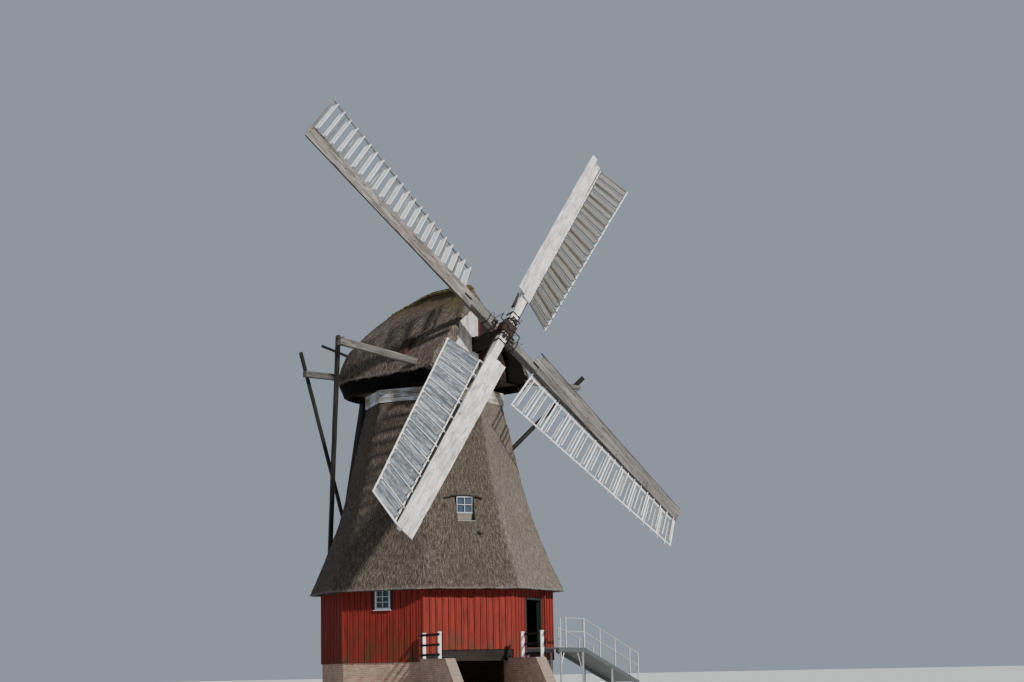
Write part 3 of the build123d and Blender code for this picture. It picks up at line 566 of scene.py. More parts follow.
for i in range(N_ROW - 1):
    for j in range(8 * N_COL):
        if any(h[0] <= i < h[1] and h[2] <= j < h[3] for h in hole):
            continue
        q = (j + 1) % (8 * N_COL)
        F.append((i * 8 * N_COL + j, i * 8 * N_COL + q, (i + 1) * 8 * N_COL + q, (i + 1) * 8 * N_COL + j))
base = V[0]
n0 = N_ROW * 8 * N_COL
rings, locs, cuts, ring_painted_shades = [V.reshape(-1, 3)], [Lc.reshape(-1, 3)], [np.zeros(n0)], [np.zeros(n0)]
low = 1 - np.clip((Z - 4.44) / 0.10, 0, 1)
cuts[0] = (0.55 * low).ravel()
def ring(ap, z, cut, dark, jit):
    r_ = np.zeros(8 * N_COL); u_ = np.zeros(8 * N_COL)
    for k in range(8):
        u_[k * N_COL:(k + 1) * N_COL] = tt * ap * tan(pi / 8)
        r_[k * N_COL:(k + 1) * N_COL] = ap
    g = np.random.default_rng(int(ap * 100)).random(8 * N_COL) - 0.5
    p = np.stack([np.sin(ang[0]) * r_ + np.cos(ang[0]) * u_, -np.cos(ang[0]) * r_ + np.sin(ang[0]) * u_, np.full(8 * N_COL, z) + jit * g], -1)
    rings.append(p); locs.append(np.stack([arc * 0.9, np.full(len(arc), z * 3 + ap * 2), 0 * arc], -1))
    cuts.append(np.full(8 * N_COL, cut)); ring_painted_shades.append(np.full(8 * N_COL, dark))
# the rings under the eave get painted shade (their fourth value), darker towards the wall
for ap, z, cut, dark, jit in ((4.645, 4.432, 1.0, 0.0, 0.02), (4.56, 4.462, 1.0, 0.1, 0.02), (4.46, 4.505, 0.7, 0.25, 0.02), (4.35, 4.555, 0.2, 0.7, 0.01), (4.1655, 4.62, 0, 0.9, 0.0)):
    ring(ap, z, cut, dark, jit)
NC = 8 * N_COL
starts = [n0 + i * NC for i in range(5)]
prev = 0
for s_ in starts:
    for j in range(NC):
        q = (j + 1) % NC
        F.append((prev + q, prev + j, s_ + j, s_ + q))
    prev = s_
# the top ring against the curb gets painted shade as well
ring(2.495, 11.752, 0, 0.3, 0.0)
top = (N_ROW - 1) * NC
s_ = n0 + 5 * NC
for j in range(NC):
    q = (j + 1) % NC
    F.append((top + j, top + q, s_ + q, s_ + j))
TONE = {0: -0.14, 1: 0.36, 2: 0.30, 3: 0.12, 4: 0.0, 5: 0.05, 6: -0.05, 7: -0.14}
tone_row = np.repeat([TONE[k] for k in range(8)], N_COL).astype(float)
kk = np.ones(5) / 5.0
tone_row = np.convolve(np.concatenate([tone_row[-2:], tone_row, tone_row[:2]]), kk, "valid")
tone_all = np.tile(tone_row, N_ROW + 6)
b.add(np.concatenate(rings), F, np.concatenate(locs), 0.0, 0, cut=np.concatenate(cuts), dark=np.concatenate(ring_painted_shades), moss=0.0, tone=tone_all)
b.make("body_thatch", "tower", [M_THATCH], "thatch", ("thatch_square", "thatch_diagonal"), smooth=True)

# ------------------------------------------------------------------ cap thatch
OUT = np.array([(12.400, 2.440, -1.780, 2.680), (12.850, 2.700, -1.740, 2.700), (13.500, 2.330, -2.250, 2.700), (14.230, 1.720, -2.700, 2.700),
                (15.130, 0.870, -2.750, 2.620), (15.800, 0.330, -2.070, 2.450), (16.110, 0.150, -0.900, 2.350), (16.330, 0.050, -0.050, 2.200)])
MOUTH = [(12.640, 1.600), (13.500, 1.500), (14.040, 1.200), (14.780, 1.020), (15.550, 0.0)]
INN = np.array([(12.300, 2.300, -1.700, 2.800), (12.850, 2.330, -1.740, 2.800), (13.500, 1.960, -2.230, 2.800), (14.230, 1.350, -2.640, 2.800),
                (15.130, 0.500, -2.600, 2.800), (15.620, 0.100, -2.000, 2.800)])
def levels(T, zs):
    """Smooth interpolation of the level table at heights zs."""
    res = [zs]
    for c in (1, 2, 3):
        v = np.interp(zs, T[:, 0], T[:, c])
        k = np.ones(7) / 7.0
        vp = np.pad(v, 3, mode="edge")
        sm = np.convolve(vp, k, "valid")
        sm[:3] = v[:3]; sm[-3:] = v[-3:]
        res.append(sm)
    return res
NS, NA = 62, 104
def plan(z, w, sc, sf):
    """One level of the cap, from its left front round the rear to its right front (front to -Y)."""
    y0 = -sf
    left = np.stack([np.full(NS, -w), np.linspace(y0, -sc, NS, endpoint=False)], -1)
    th = np.linspace(0, pi, NA)
    arc_ = np.stack([-w * np.cos(th), -sc + w * np.sin(th)], -1)
    right = left[::-1] * [-1, 1]
    p = np.concatenate([left, arc_, right])
    return np.column_stack([p, np.full(len(p), z)])
NL = 92
zo = np.concatenate([np.linspace(12.40, 12.85, 10, endpoint=False), np.linspace(12.85, 16.33, NL - 10)])
lo_ = levels(OUT, zo)
P = np.array([plan(*[c[i] for c in lo_]) for i in range(NL)])
NP = P.shape[1]
du = np.gradient(P, axis=1); dv = np.gradient(P, axis=0)
nrm = np.cross(du, dv)
nrm /= np.maximum(np.linalg.norm(nrm, axis=2, keepdims=True), 1e-9)
if (nrm[20, NP // 2] @ np.array([0, 1, 0])) < 0:
    nrm = -nrm
sh = (NL, NP)
fade = np.clip((16.33 - P[..., 2]) / 0.5, 0, 1)
dsp = fade * (0.020 * smooth_noise(sh, (8, 20), 21) + 0.012 * smooth_noise(sh, (24, 90), 22) + 0.010 * smooth_noise(sh, (45, 220), 23) - 0.012)
dsp += 0.006 * (np.random.default_rng(24).random(sh) - 0.5)
P2 = P + nrm * dsp[..., None]
ragc = 0.03 * smooth_noise((1, NP), (1, 90), 25)[0] + 0.02 * smooth_noise((1, NP), (1, 26), 26)[0]
P2[0, :, 2] += ragc; P2[1, :, 2] += 0.6 * ragc
zi = np.linspace(12.30, 15.62, NL)
li_ = levels(INN, zi)
sfv = np.minimum(np.interp(zi, zo, lo_[3]), 2.44)
Q = np.array([plan(zi[i], li_[1][i], li_[2][i], sfv[i]) for i in range(NL)])
arcl = np.cumsum(np.concatenate([[0], np.linalg.norm(np.diff(P[10], axis=0), axis=1)]))
slope = np.cumsum(np.concatenate([[0], np.linalg.norm(np.diff(P[:, NP // 2], axis=0), axis=1)]))
LO_ = np.stack([np.repeat(arcl[None], NL, 0), np.repeat(slope[:, None], NP, 1), np.zeros(sh)], -1)
b = Build()
zz = P2[..., 2]
side_d = np.abs(P2[..., 0])
mossv = np.clip((zz - 15.25 - 0.35 * smooth_noise(sh, (10, 30), 27)) / 0.9, 0, 1) * 0.9
cutv = np.exp(-((zz - 12.90) / 0.05) ** 2) * 0.5
# painted shade: the eave band below about 12.86 m, whose underside is in shade, is made near-black
eave_band_shade = np.clip((12.86 + 0.05 * smooth_noise(sh, (10, 160), 28) - zz) / 0.04, 0, 1) * 1.0
V = np.concatenate([P2.reshape(-1, 3), Q.reshape(-1, 3)])
L = np.concatenate([LO_.reshape(-1, 3), LO_.reshape(-1, 3) * 1.1])
F = grid_faces(NL, NP, flip=True)
n1 = NL * NP
F += grid_faces(NL, NP, flip=False, off=n1)
for j in range(NP - 1):                             # bottom rim
    F.append((j, j + 1, n1 + j + 1, n1 + j))
for i in range(NL - 1):                             # verge, both sides
    F.append((i * NP, n1 + i * NP, n1 + (i + 1) * NP, (i + 1) * NP))
    F.append((i * NP + NP - 1, (i + 1) * NP + NP - 1, n1 + (i + 1) * NP + NP - 1, n1 + i * NP + NP - 1))
tp = (NL - 1) * NP
for j in range(NP // 2 - 1):                        # ridge line
    F.append((tp + j, tp + j + 1, tp + NP - 2 - j, tp + NP - 1 - j))
    F.append((n1 + tp + j + 1, n1 + tp + j, n1 + tp + NP - 1 - j, n1 + tp + NP - 2 - j))
F.append((tp, tp + NP - 1, n1 + tp + NP - 1, n1 + tp))
# the inner skin of the cap thatch gets painted shade
cap_shade_values = np.concatenate([eave_band_shade.ravel(), np.full(n1, 0.75)])
b.add(V, F, L, 0.0, 0, cut=np.concatenate([cutv.ravel(), np.zeros(n1)]), moss=np.concatenate([mossv.ravel(), np.zeros(n1)]), dark=cap_shade_values)
b.make("cap_thatch", "cap", [M_THATCH], "thatch", ("cap_thatch_left", "cap_thatch_right", "cap_thatch_rear"), smooth=True, M=CAP)

# ridge: mossy roll of reed with a dark board on it
b = Build()
rp = []
for z_, s_ in zip(lo_[0][::-1], lo_[2][::-1]):
    if 15.55 < z_ < 16.32:
        rp.append((0, -(s_ - np.interp(z_, lo_[0], lo_[1])), z_))
front_top = [(0, -2.20, 16.30), (0, -1.70, 16.335), (0, -0.90, 16.345), (0, -0.15, 16.34)]
rp = np.array(front_top + rp)
keep = [0]
for i in range(1, len(rp)):
    if np.linalg.norm(rp[i] - rp[keep[-1]]) > 0.06:
        keep.append(i)
rp = rp[keep]
dense = []
for i in range(len(rp) - 1):
    m_ = max(1, int(np.linalg.norm(rp[i + 1] - rp[i]) / 0.06))
    for t_ in range(m_):
        dense.append(rp[i] + (rp[i + 1] - rp[i]) * t_ / m_)
rp = np.array(dense + [rp[-1]])
tang = np.gradient(rp, axis=0)
K = 14
V, L = [], []
for i, p in enumerate(rp):
    y = unit(np.cross(tang[i], (1, 0, 0)))
    y = y if y[2] > 0 else -y
    rr = 0.135 + 0.018 * rng.standard_normal()
    for j in range(K):
        a = 2 * pi * j / K
        q = rr * (1 + 0.08 * rng.standard_normal())
        V.append(p + np.array([1, 0, 0]) * q * 1.5 * cos(a) + y * (q * 0.62 * sin(a) - 0.02))
        L.append((i * 0.06, a * 0.13, 0))
F = grid_faces(len(rp), K, wrap=True)
F.append(tuple(range(K))); F.append(tuple((len(rp) - 1) * K + j for j in reversed(range(K))))
b.add(V, F, L, 0.0, 0, moss=1.0, cut=0.0, dark=0.0)
b.make("ridge_roll", "cap", [M_THATCH], "thatch", smooth=True, M=CAP)
b = Build()
ri = [i for i in range(0, len(rp), 7)]
for a_, c_ in zip(ri[:-1], ri[1:]):
    if rp[a_][2] > 15.75:
        beam(b, rp[a_] + [0, 0, 0.085], rp[c_] + [0, 0.02, 0.087], 0.17, 0.03, up=(0, 0, 1), n=1, bev=0.006)
b.make("ridge_boards", "cap", [M_DARKWOOD], "timber", M=CAP)

# ------------------------------------------------------------------ boarded storey
TOPZ = 4.72
def boards_on(bb, bt, k, z0, z1, holes=(), foot=None, seed=0):
    """Upright boards with cover battens on face k; holes are (u0, u1, z0, z1)."""
    Mk = face(k)
    half = APO * tan(pi / 8)
    n = 14
    w = 2 * half / n
    for i in range(n):
        u0, u1 = -half + i * w + 0.004, -half + (i + 1) * w - 0.004
        uc = (u0 + u1) / 2
        zb = (foot(uc) if foot else z0) + 0.02 * (rng.random() - 0.5)
        spans = [(zb, z1)]
        for h in holes:
            if u1 > h[0] and u0 < h[1]:
                new = []
                for s0, s1 in spans:
                    if s0 < h[2] - 0.02:
                        new.append((s0, min(s1, h[2])))
                    if s1 > h[3] + 0.02:
                        new.append((max(s0, h[3]), s1))
                spans = new
        for s0, s1 in spans:
            out = 0.004 * rng.random()
            # the 40 mm strips at each board edge, beside the battens, carry painted shade
            for e0, e1, batten_shade in ((u0, u0 + 0.040, 1.0), (u0 + 0.040, u1 - 0.040, 0.0), (u1 - 0.040, u1, 1.0)):
                wq = rng.random() if batten_shade else None
                beam(bb, ((e0 + e1) / 2, -APO - 0.011 - out, s0), ((e0 + e1) / 2, -APO - 0.011 - out, s1), e1 - e0, 0.022, up=(0, 1, 0), bev=0.002, n=1, M=Mk, edge=batten_shade)
        if i < n - 1:
            ub = u1 + 0.004
            sp = [(zb + 0.01 * (rng.random() - 0.5), z1)]
            for h in holes:
                if ub + 0.025 > h[0] and ub - 0.025 < h[1]:
                    new = []
                    for s0, s1 in sp:
                        if s0 < h[2] - 0.02:
                            new.append((s0, min(s1, h[2])))
                        if s1 > h[3] + 0.02:
                            new.append((max(s0, h[3]), s1))
                    sp = new
            for s0, s1 in sp:
                beam(bt, (ub, -APO - 0.034, s0), (ub + 0.003 * (rng.random() - 0.5), -APO - 0.034, s1), 0.048, 0.024, up=(0, 1, 0), bev=0.004, n=2, wob=0.002, M=Mk)
    # corner boards
    beam(bt, (-half + 0.01, -APO - 0.036, z0 if not foot else foot(-half)), (-half + 0.01, -APO - 0.036, z1), 0.09, 0.026, up=(0, 1, 0), bev=0.005, n=2, M=Mk)
    beam(bt, (half - 0.01, -APO - 0.036, z0 if not foot else foot(half)), (half - 0.01, -APO - 0.036, z1), 0.09, 0.026, up=(0, 1, 0), bev=0.005, n=2, M=Mk)

bb, bt = Build(), Build()
WH = (-0.335, 0.335, 3.735, 4.72)
for k in range(8):
    holes, foot = [], None
    if k in (-1 % 8, 3):
        holes = [WH]
    if k == 1:
        holes = [(-0.70, 0.70, 1.0, 4.15)]
    if k == 0:
        foot = lambda u: 2.04 if u < -1.2 else 2.215
    boards_on(bb, bt, k, 1.79, TOPZ, holes, foot)
o = bb.make("wall_boards", "tower", [M_RED], "red_boards")
o = bt.make("wall_battens", "tower", [M_RED], "red_boards")
for n_ in ("walls_square", "walls_diagonal", "door_head_and_sill"):
    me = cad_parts[n_].data
    me.materials.clear()
M_REDBACK = wood("red_backing", (0.02, 0.006, 0.005), (0.05, 0.012, 0.008), (0.09, 0.02, 0.012), axis=(0, 0, 1))
b = Build()
# top plate and rafter feet in the dark under the eave
for k in range(8):
    Mk = face(k)
    beam(b, (-1.70, -APO - 0.075, 4.50), (1.70, -APO - 0.075, 4.50), 0.12, 0.14, bev=0.01, M=Mk)
    for u in np.linspace(-1.5, 1.5, 6):
        beam(b, (u, -APO - 0.03, 4.585), (u, -APO - 0.36, 4.50), 0.07, 0.07, bev=0.008, M=Mk)
b.make("eave_plate", "tower", [M_DARKWOOD], "timber")

# windows: sashes and glazing bars
b, bg = Build(), Build()
def window(k, u0, u1, z0, z1, y, cols, rows, fw=0.055, bar=0.028, depth=0.05, mat=0):
    Mk = face(k)
    for u in (u0 + fw / 2, u1 - fw / 2):
        beam(b, (u, y, z0), (u, y, z1), fw, depth, up=(0, 1, 0), bev=0.006, M=Mk, m=mat)
    for z in (z0 + fw / 2, z1 - fw / 2):
        beam(b, (u0 + fw, y, z), (u1 - fw, y, z), depth, fw, up=(0, 0, 1), bev=0.006, M=Mk, m=mat)
    iu0, iu1, iz0, iz1 = u0 + fw, u1 - fw, z0 + fw, z1 - fw
    for c in range(1, cols):
        u = iu0 + (iu1 - iu0) * c / cols
        beam(b, (u, y - 0.002, iz0), (u, y - 0.002, iz1), bar, depth * 0.7, up=(0, 1, 0), bev=0.005, M=Mk, m=mat)
    for r_ in range(1, rows):
        z = iz0 + (iz1 - iz0) * r_ / rows
        beam(b, (iu0, y - 0.003, z), (iu1, y - 0.003, z), depth * 0.7, bar, up=(0, 0, 1), bev=0.005, M=Mk, m=mat)
for k in (-1, 3):
    window(k, -0.33, 0.33, 3.74, 4.50, -APO - 0.012, 2, 3, fw=0.075)
    beam(b, (-0.37, -APO - 0.05, 3.72), (0.37, -APO - 0.05, 3.72), 0.11, 0.035, bev=0.008, M=face(k))
for k in (0, 4):
    window(k, -0.20, 0.48, 7.31, 7.96, -3.405, 2, 2, fw=0.045, bar=0.03)
    Mk = face(k)
    for zz_ in (7.045, 7.145, 7.245):
        beam(b, (-0.195, -3.408 - 0.006 * rng.random(), zz_), (0.475, -3.408, zz_), 0.026, 0.097, up=(0, 0, 1), bev=0.004, M=Mk, m=1)
    beam(b, (-0.20, -3.425, 7.315), (0.48, -3.425, 7.315), 0.07, 0.030, up=(0, 0, 1), bev=0.006, M=Mk, m=0)
    beam(b, (-0.225, -3.565, 6.985), (0.505, -3.565, 6.985), 0.30, 0.034, up=(0, 0.12, 0.99), bev=0.006, M=Mk, m=1)
b.make("window_sashes", "tower", [M_SASH, M_SILL], "white_paint")
b = Build()
for k in (0, 4):
    Mk = face(k)
    pts = []
    for i in range(15):
        u = -0.66 + i * (1.50 / 14)
        zz_ = 8.000 - 0.12 * abs((u - 0.06) / 0.78) ** 2.2
        ap = float(apothem(zz_))
        pts.append((u, -ap - 0.030, zz_))
    for p0, p1 in zip(pts[:-1], pts[1:]):
        beam(b, p0, p1, 0.13, 0.036, up=(0, 0, 1), bev=0.004, M=Mk)
for k in (0, 4):
    Mk = face(k)
    # the reveals' lining boards are near-black: painted shade in the window recess
    for u in (-0.205, 0.485):                          # dark lining boards of the reveals
        beam(b, (u, -3.50, 7.01), (u, -3.42, 7.95), 0.020, 0.16, up=(0, 1, 0), bev=0.003, M=Mk)
    beam(b, (0.52, -3.90, 6.62), (0.66, -3.92, 6.50), 0.05, 0.06, bev=0.006, M=Mk)
b.make("window_brow", "tower", [M_BRACE], "timber")

# door: linings, planked leaf, post
b = Build()
M1 = face(1)
for u in (-0.655, 0.655):
    beam(b, (u, -APO - 0.03, 2.28), (u, -APO - 0.03, 4.15), 0.09, 0.05, up=(0, 1, 0), bev=0.006, M=M1)
beam(b, (-0.70, -APO - 0.03, 4.105), (0.70, -APO - 0.03, 4.105), 0.05, 0.09, bev=0.006, M=M1)
b.make("door_linings", "tower", [M_GREEN], "green_paint")
b = Build()
hx = -0.605 + 0.010
for i in range(6):
    y0 = -APO + 0.137 + i * 0.2
    beam(b, (hx + 0.055, y0 + 0.098, 2.302), (hx + 0.055, y0 + 0.098, 4.048), 0.194, 0.012, up=(1, 0, 0), bev=0.003, M=M1)
for z_ in (2.55, 3.80):
    beam(b, (hx - 0.004, -APO + 0.16, z_), (hx - 0.004, -APO + 1.30, z_), 0.010, 0.12, bev=0.003, M=M1)
b.make("door_planks", "door", [M_GREEN], "green_paint")
b = Build()
for z_ in (2.60, 3.78):
    beam(b, (hx + 0.064, -APO + 0.14, z_), (hx + 0.064, -APO + 0.95, z_), 0.006, 0.045, bev=0.002, M=M1)
rod(b, (hx + 0.06, -APO + 1.22, 3.2), (hx + 0.12, -APO + 1.22, 3.2), 0.02, M=M1)
rod(b, (hx + 0.12, -APO + 1.14, 3.2), (hx + 0.12, -APO + 1.30, 3.2), 0.022, M=M1)
b.make("door_irons", "door", [M_IRON2], "iron")
b = Build()
beam(b, (0.76, -APO - 0.16, 2.24), (0.76, -APO - 0.16, 4.50), 0.075, 0.075, up=(0, 1, 0), bev=0.008, n=4, wob=0.003, M=M1)
b.make("door_post", "tower", [M_RED], "red_boards")

# ------------------------------------------------------------------ curb planks
b = Build()
for k in range(8):
    Mk = face(k)
    ap = 2.54
    half = (ap + 0.012) * tan(pi / 8)
    z = 11.755
    for hgt in (0.165, 0.175, 0.165):
        joint = (rng.random() - 0.5) * 1.0
        for u0, u1 in ((-half, joint - 0.004), (joint + 0.004, half)):
            beam(b, (u0, -ap + 0.006 - 0.006 * rng.random(), z + hgt / 2), (u1, -ap + 0.006 - 0.006 * rng.random(), z + hgt / 2), 0.028, hgt - 0.008, bev=0.004, n=5, wob=0.002, m=1 if k in (0, 1, 2) else 0, M=Mk)
        z += hgt + 0.003
b.make("curb_planks", "tower", [M_CURB, M_CURB2], "curb_paint", ("curb_boards",))

# ------------------------------------------------------------------ gable boards
b = Build()
zg = [12.30, 12.85, 13.50, 14.23, 15.13, 15.62]
wg = [2.30, 2.33, 1.96, 1.35, 0.50, 0.10]
def mouth_top(t):
    return float(np.interp(-abs(t), [-w for _, w in MOUTH], [z for z, _ in MOUTH])) if abs(t) < 1.6 else 12.7
n_ = 19
for i in range(n_):
    t0 = -1.60 + i * (3.20 / n_); t1 = t0 + 3.20 / n_ - 0.006 - 0.004 * rng.random()
    tc = (t0 + t1) / 2
    zt = mouth_top(min(1.58, max(abs(t0), abs(t1)))) + 0.10
    spans = [(12.66, min(zt, 15.50))]
    if abs(tc) < 0.36:
        zc = 13.431 + 2.50 * tan(TILT)
        hh = math.sqrt(max(0.0, 0.33 ** 2 - tc ** 2)) * 1.05
        spans = [(12.66, zc - hh), (zc + hh, min(zt, 15.50))]
    for z0_, z1_ in spans:
        if z1_ - z0_ < 0.05:
            continue
        # gable boards: white left of the shaft, a narrow dark red strip, then near-black boards to the right, dark
        # boards with painted shade
        mq = 0 if tc < 0.05 else (1 if tc < 0.22 else 2)
        beam(b, (tc, -2.500 - 0.012 - 0.004 * rng.random(), z0_), (tc, -2.500 - 0.012 - 0.004 * rng.random(), z1_), t1 - t0, 0.022, up=(0, 1, 0), bev=0.003, n=3, wob=0.002, m=mq)
b.make("gable_boards", "cap", [M_GABLE_W, M_GABLE_R, M_GABLE_SHADED], "gable_paint", M=CAP)
# broad rolled front of the thatch round the boarded mouth
b = Build()
NZ, NF = 74, 11
zs_ = np.linspace(12.655, 16.20, NZ)
nzv = smooth_noise((NZ, NF), (16, 4), 61) * 0.022 + smooth_noise((NZ, NF), (40, 8), 62) * 0.014
for sx in (-1, 1):
    V, L, MO = [], [], []
    for i, z in enumerate(zs_):
        to = float(np.interp(z, OUT[:, 0], OUT[:, 1])) - 0.035
        ti = max(0.0, float(np.interp(z, [q[0] for q in MOUTH], [q[1] for q in MOUTH]))) if z < 15.55 else 0.0
        ti = min(ti + (0.018 * rng.standard_normal() if z < 15.4 else 0), to - 0.05)
        sf = float(np.interp(z, lo_[0], lo_[3]))
        for j in range(NF):
            v = j / (NF - 1)
            rd = 0.055 * (abs(2 * v - 1) ** 4)
            V.append((sx * (to + (ti - to) * v), -(sf + 0.035 - rd + nzv[i, j]), z)); L.append(((to + (ti - to) * v), z * 1.0, 0)); MO.append(0.2 * max(0.0, z - 15.2))
        for (q, d_) in ((ti, 0.17), (to, 0.17)):
            V.append((sx * q, -(sf - d_), z)); L.append((q + 0.3, z, 0)); MO.append(0.0)
    K = NF + 2
    F = grid_faces(NZ, K, wrap=True, flip=(sx < 0))
    c0_ = tuple(range(K)); c1_ = tuple((NZ - 1) * K + j for j in range(K))
    F += [c0_[::-1], c1_] if sx > 0 else [c0_, c1_[::-1]]
    # painted shade: the lower right half of the rolled front, inside its outer rim and below 14.5 m, is made near-black
    FRONT_RIGHT_SHADE = np.array([(0.985 if sx > 0 and v_[2] < 14.5 and abs(v_[0]) < np.interp(v_[2], OUT[:, 0], OUT[:, 1]) - 0.14 else 0.0) for v_ in V])
    b.add(V, F, L, 0.0, 0, moss=np.array(MO), cut=0.12, dark=FRONT_RIGHT_SHADE, tone=0.0)
b.make("verge_front", "cap", [M_THATCH], "thatch", smooth=True, M=CAP)

# hatch in the left slope of the cap
b = Build()
def slope_pt(s, z, side=-1, out=0.0):
    w = np.interp(z, OUT[:, 0], OUT[:, 1])
    return np.array([side * (w + out), -s, z])
hs0, hs1, hz0, hz1 = 0.38, 0.90, 13.60, 14.26
for i in range(4):
    s0 = hs0 + i * (hs1 - hs0) / 4; s1 = s0 + (hs1 - hs0) / 4 - 0.01
    beam(b, slope_pt((s0 + s1) / 2, hz0, out=0.085), slope_pt((s0 + s1) / 2, hz1, out=0.085), s1 - s0, 0.13, up=(-0.7, 0, 0.7), bev=0.004)
for z_ in (hz0 + 0.08, hz1 - 0.08):
    beam(b, slope_pt(hs0, z_, out=0.180), slope_pt(hs1, z_, out=0.180), 0.09, 0.030, up=(-0.7, 0, 0.7), bev=0.004)
b.make("cap_hatch", "cap", [M_HATCH], "timber", M=CAP)

# ------------------------------------------------------------------ spreaders, tail pole, braces
b = Build()
def planked(p0, p1, w, h, n, up=(0, 0, 1)):
    beam(b, p0, p1, w, h, up=up, n=n, wob=0.004, bev=0.018)
planked((0.03, -1.70, 12.89), (-6.25, -1.70, 13.605), 0.235, 0.275, 14)
beam(b, (-0.03, -1.70, 12.89), (6.56, -1.70, 12.96), 0.235, 0.275, w1=0.235, h1=0.165, n=14, wob=0.004, bev=0.018)
planked((-4.42, 2.67, 13.05), (4.42, 2.67, 13.05), 0.215, 0.245, 14)
b.make("spreaders", "cap", [M_GREY], "grey_timber", ("long_spreader", "short_spreader"), M=CAP)
b = Build()
p0, p1 = np.array([0, 4.2, 13.0]), np.array([0, 6.6, 3.1])
beam(b, p0, p1, 0.255, 0.295, up=(0, 1, 0), n=16, wob=0.006, bev=0.03)
b.make("tail_pole_timber", "cap", [M_BRACE], "grey_timber", ("tail_pole",), M=CAP)
b = Build()
pd = unit(p1 - p0)
foot = p0 + pd * ((13.0 - 3.35) / abs(pd[2]))
mid = p0 + pd * ((13.0 - 7.7) / abs(pd[2]))
def ext(a, c, back):
    return np.asarray(a) - unit(np.asarray(c) - np.asarray(a)) * back
for sx in (-1, 1):
    ez, ex = (13.6, -6.12) if sx < 0 else (12.955, 6.42)
    a = (ex, -1.70 + 0.12 + 0.092, ez); c = (sx * 0.205, foot[1], foot[2])
    beam(b, ext(a, c, 0.26 if sx < 0 else 0.62), c, 0.145, 0.165, up=(1, 0, 0), n=18, wob=0.006, bev=0.02)
    a = (sx * 4.18, 2.67 + 0.11 + 0.075, 13.05); c = (sx * 0.19, mid[1], mid[2])
    beam(b, ext(a, c, 1.05), c, 0.118, 0.135, up=(1, 0, 0), n=14, wob=0.005, bev=0.016)
b.make("braces", "cap", [M_BRACE], "grey_timber", ("tail_braces",), M=CAP)
b = Build()
beam(b, (0, 3.3, 13.7), (0, 7.08, 15.19), 0.088, 0.108, n=8, wob=0.005, bev=0.014)
b.make("lever_pole", "cap", [M_BRACE], "grey_timber", ("brake_lever",), M=CAP)
b = Build()
for sx in (-1, 1):                                     # bolted iron straps where braces meet spreaders
    x = -6.12 if sx < 0 else 6.42
    z = 13.6 if sx < 0 else 12.955
    beam(b, (x - 0.05, -1.70, z - 0.146), (x + 0.05, -1.70, z - 0.146), 0.26, 0.010, bev=0.002)
    beam(b, (x - 0.05, -1.70, z + 0.146), (x + 0.05, -1.70, z + 0.146), 0.26, 0.010, bev=0.002)
    for dy in (-0.135, 0.30):
        rod(b, (x, -1.70 + dy, z - 0.06), (x, -1.70 + dy + 0.02, z - 0.06), 0.05, k=6)
    xs = sx * 4.18
    rod(b, (xs, 2.67 - 0.14, 13.05), (xs, 2.67 + 0.27, 13.05), 0.03, k=6)
b.make("brace_irons", "cap", [M_IRON2], "iron", M=CAP)

# ------------------------------------------------------------------ rotor: stocks
def stock_half(x):
    return 0.17 - 0.075 * (abs(x) - 0.65) / (10.8 - 0.65) if abs(x) > 0.65 else 0.17
for nm, key, mt, repl in (("stock_b_d", "b", M_WHITE, "stock_front"), ("stock_a_c", "a", M_SAILGREY, "stock_rear")):
    b = Build()
    xs = np.concatenate([np.linspace(-10.8, -0.65, 22), np.linspace(0.65, 10.8, 22)])
    P = [(x, 0.0015 * rng.standard_normal(), 0.0015 * rng.standard_normal()) for x in xs]
    S = [chamfered(2 * stock_half(x) - 0.004, 2 * stock_half(x) - 0.004, 0.02) for x in xs]
    sweep(b, P, np.array([0, 1, 0.0]), np.array([0, 0, 1.0]), S, 0.3)
    b.make(nm, "rotor", [mt], "sail_wood", (repl,), M=sail(key))

# leading boards: planks side by side
TRAIL = {"a": 0.240, "b": 0.240, "c": 0.240, "d": 0.246}
TIP = {"a": 0.31, "b": 0.34, "c": 0.37, "d": 0.56}
END = {"a": 10.86, "b": 11.15, "c": 10.86, "d": 10.86}
MB = {"a": M_TAN, "b": M_WHITE, "c": M_SAILGREY, "d": M_WHITE}
def board_pt(k, x, v, dz=0.0):
    """Point of the leading board's face: v 0 at the trailing edge, 1 at the leading edge."""
    f = (x - 1.78) / (END[k] - 1.78)
    lead = 0.58 + (TIP[k] - 0.58) * f
    wd = lead + TRAIL[k]
    tl = radians(11 * (1 - f))
    z0 = stock_half(x) + 0.0005
    return np.array([x, -TRAIL[k] + v * wd * cos(tl), z0 + v * wd * sin(tl)]) + dz * np.array([0, -sin(tl), cos(tl)])
ROOTS = {"a": (0.02, 0.42, 0.0), "b": (0.0, 0.10), "c": (0.30, 0.0, 0.22), "d": (0.0, 0.0, 0.03)}
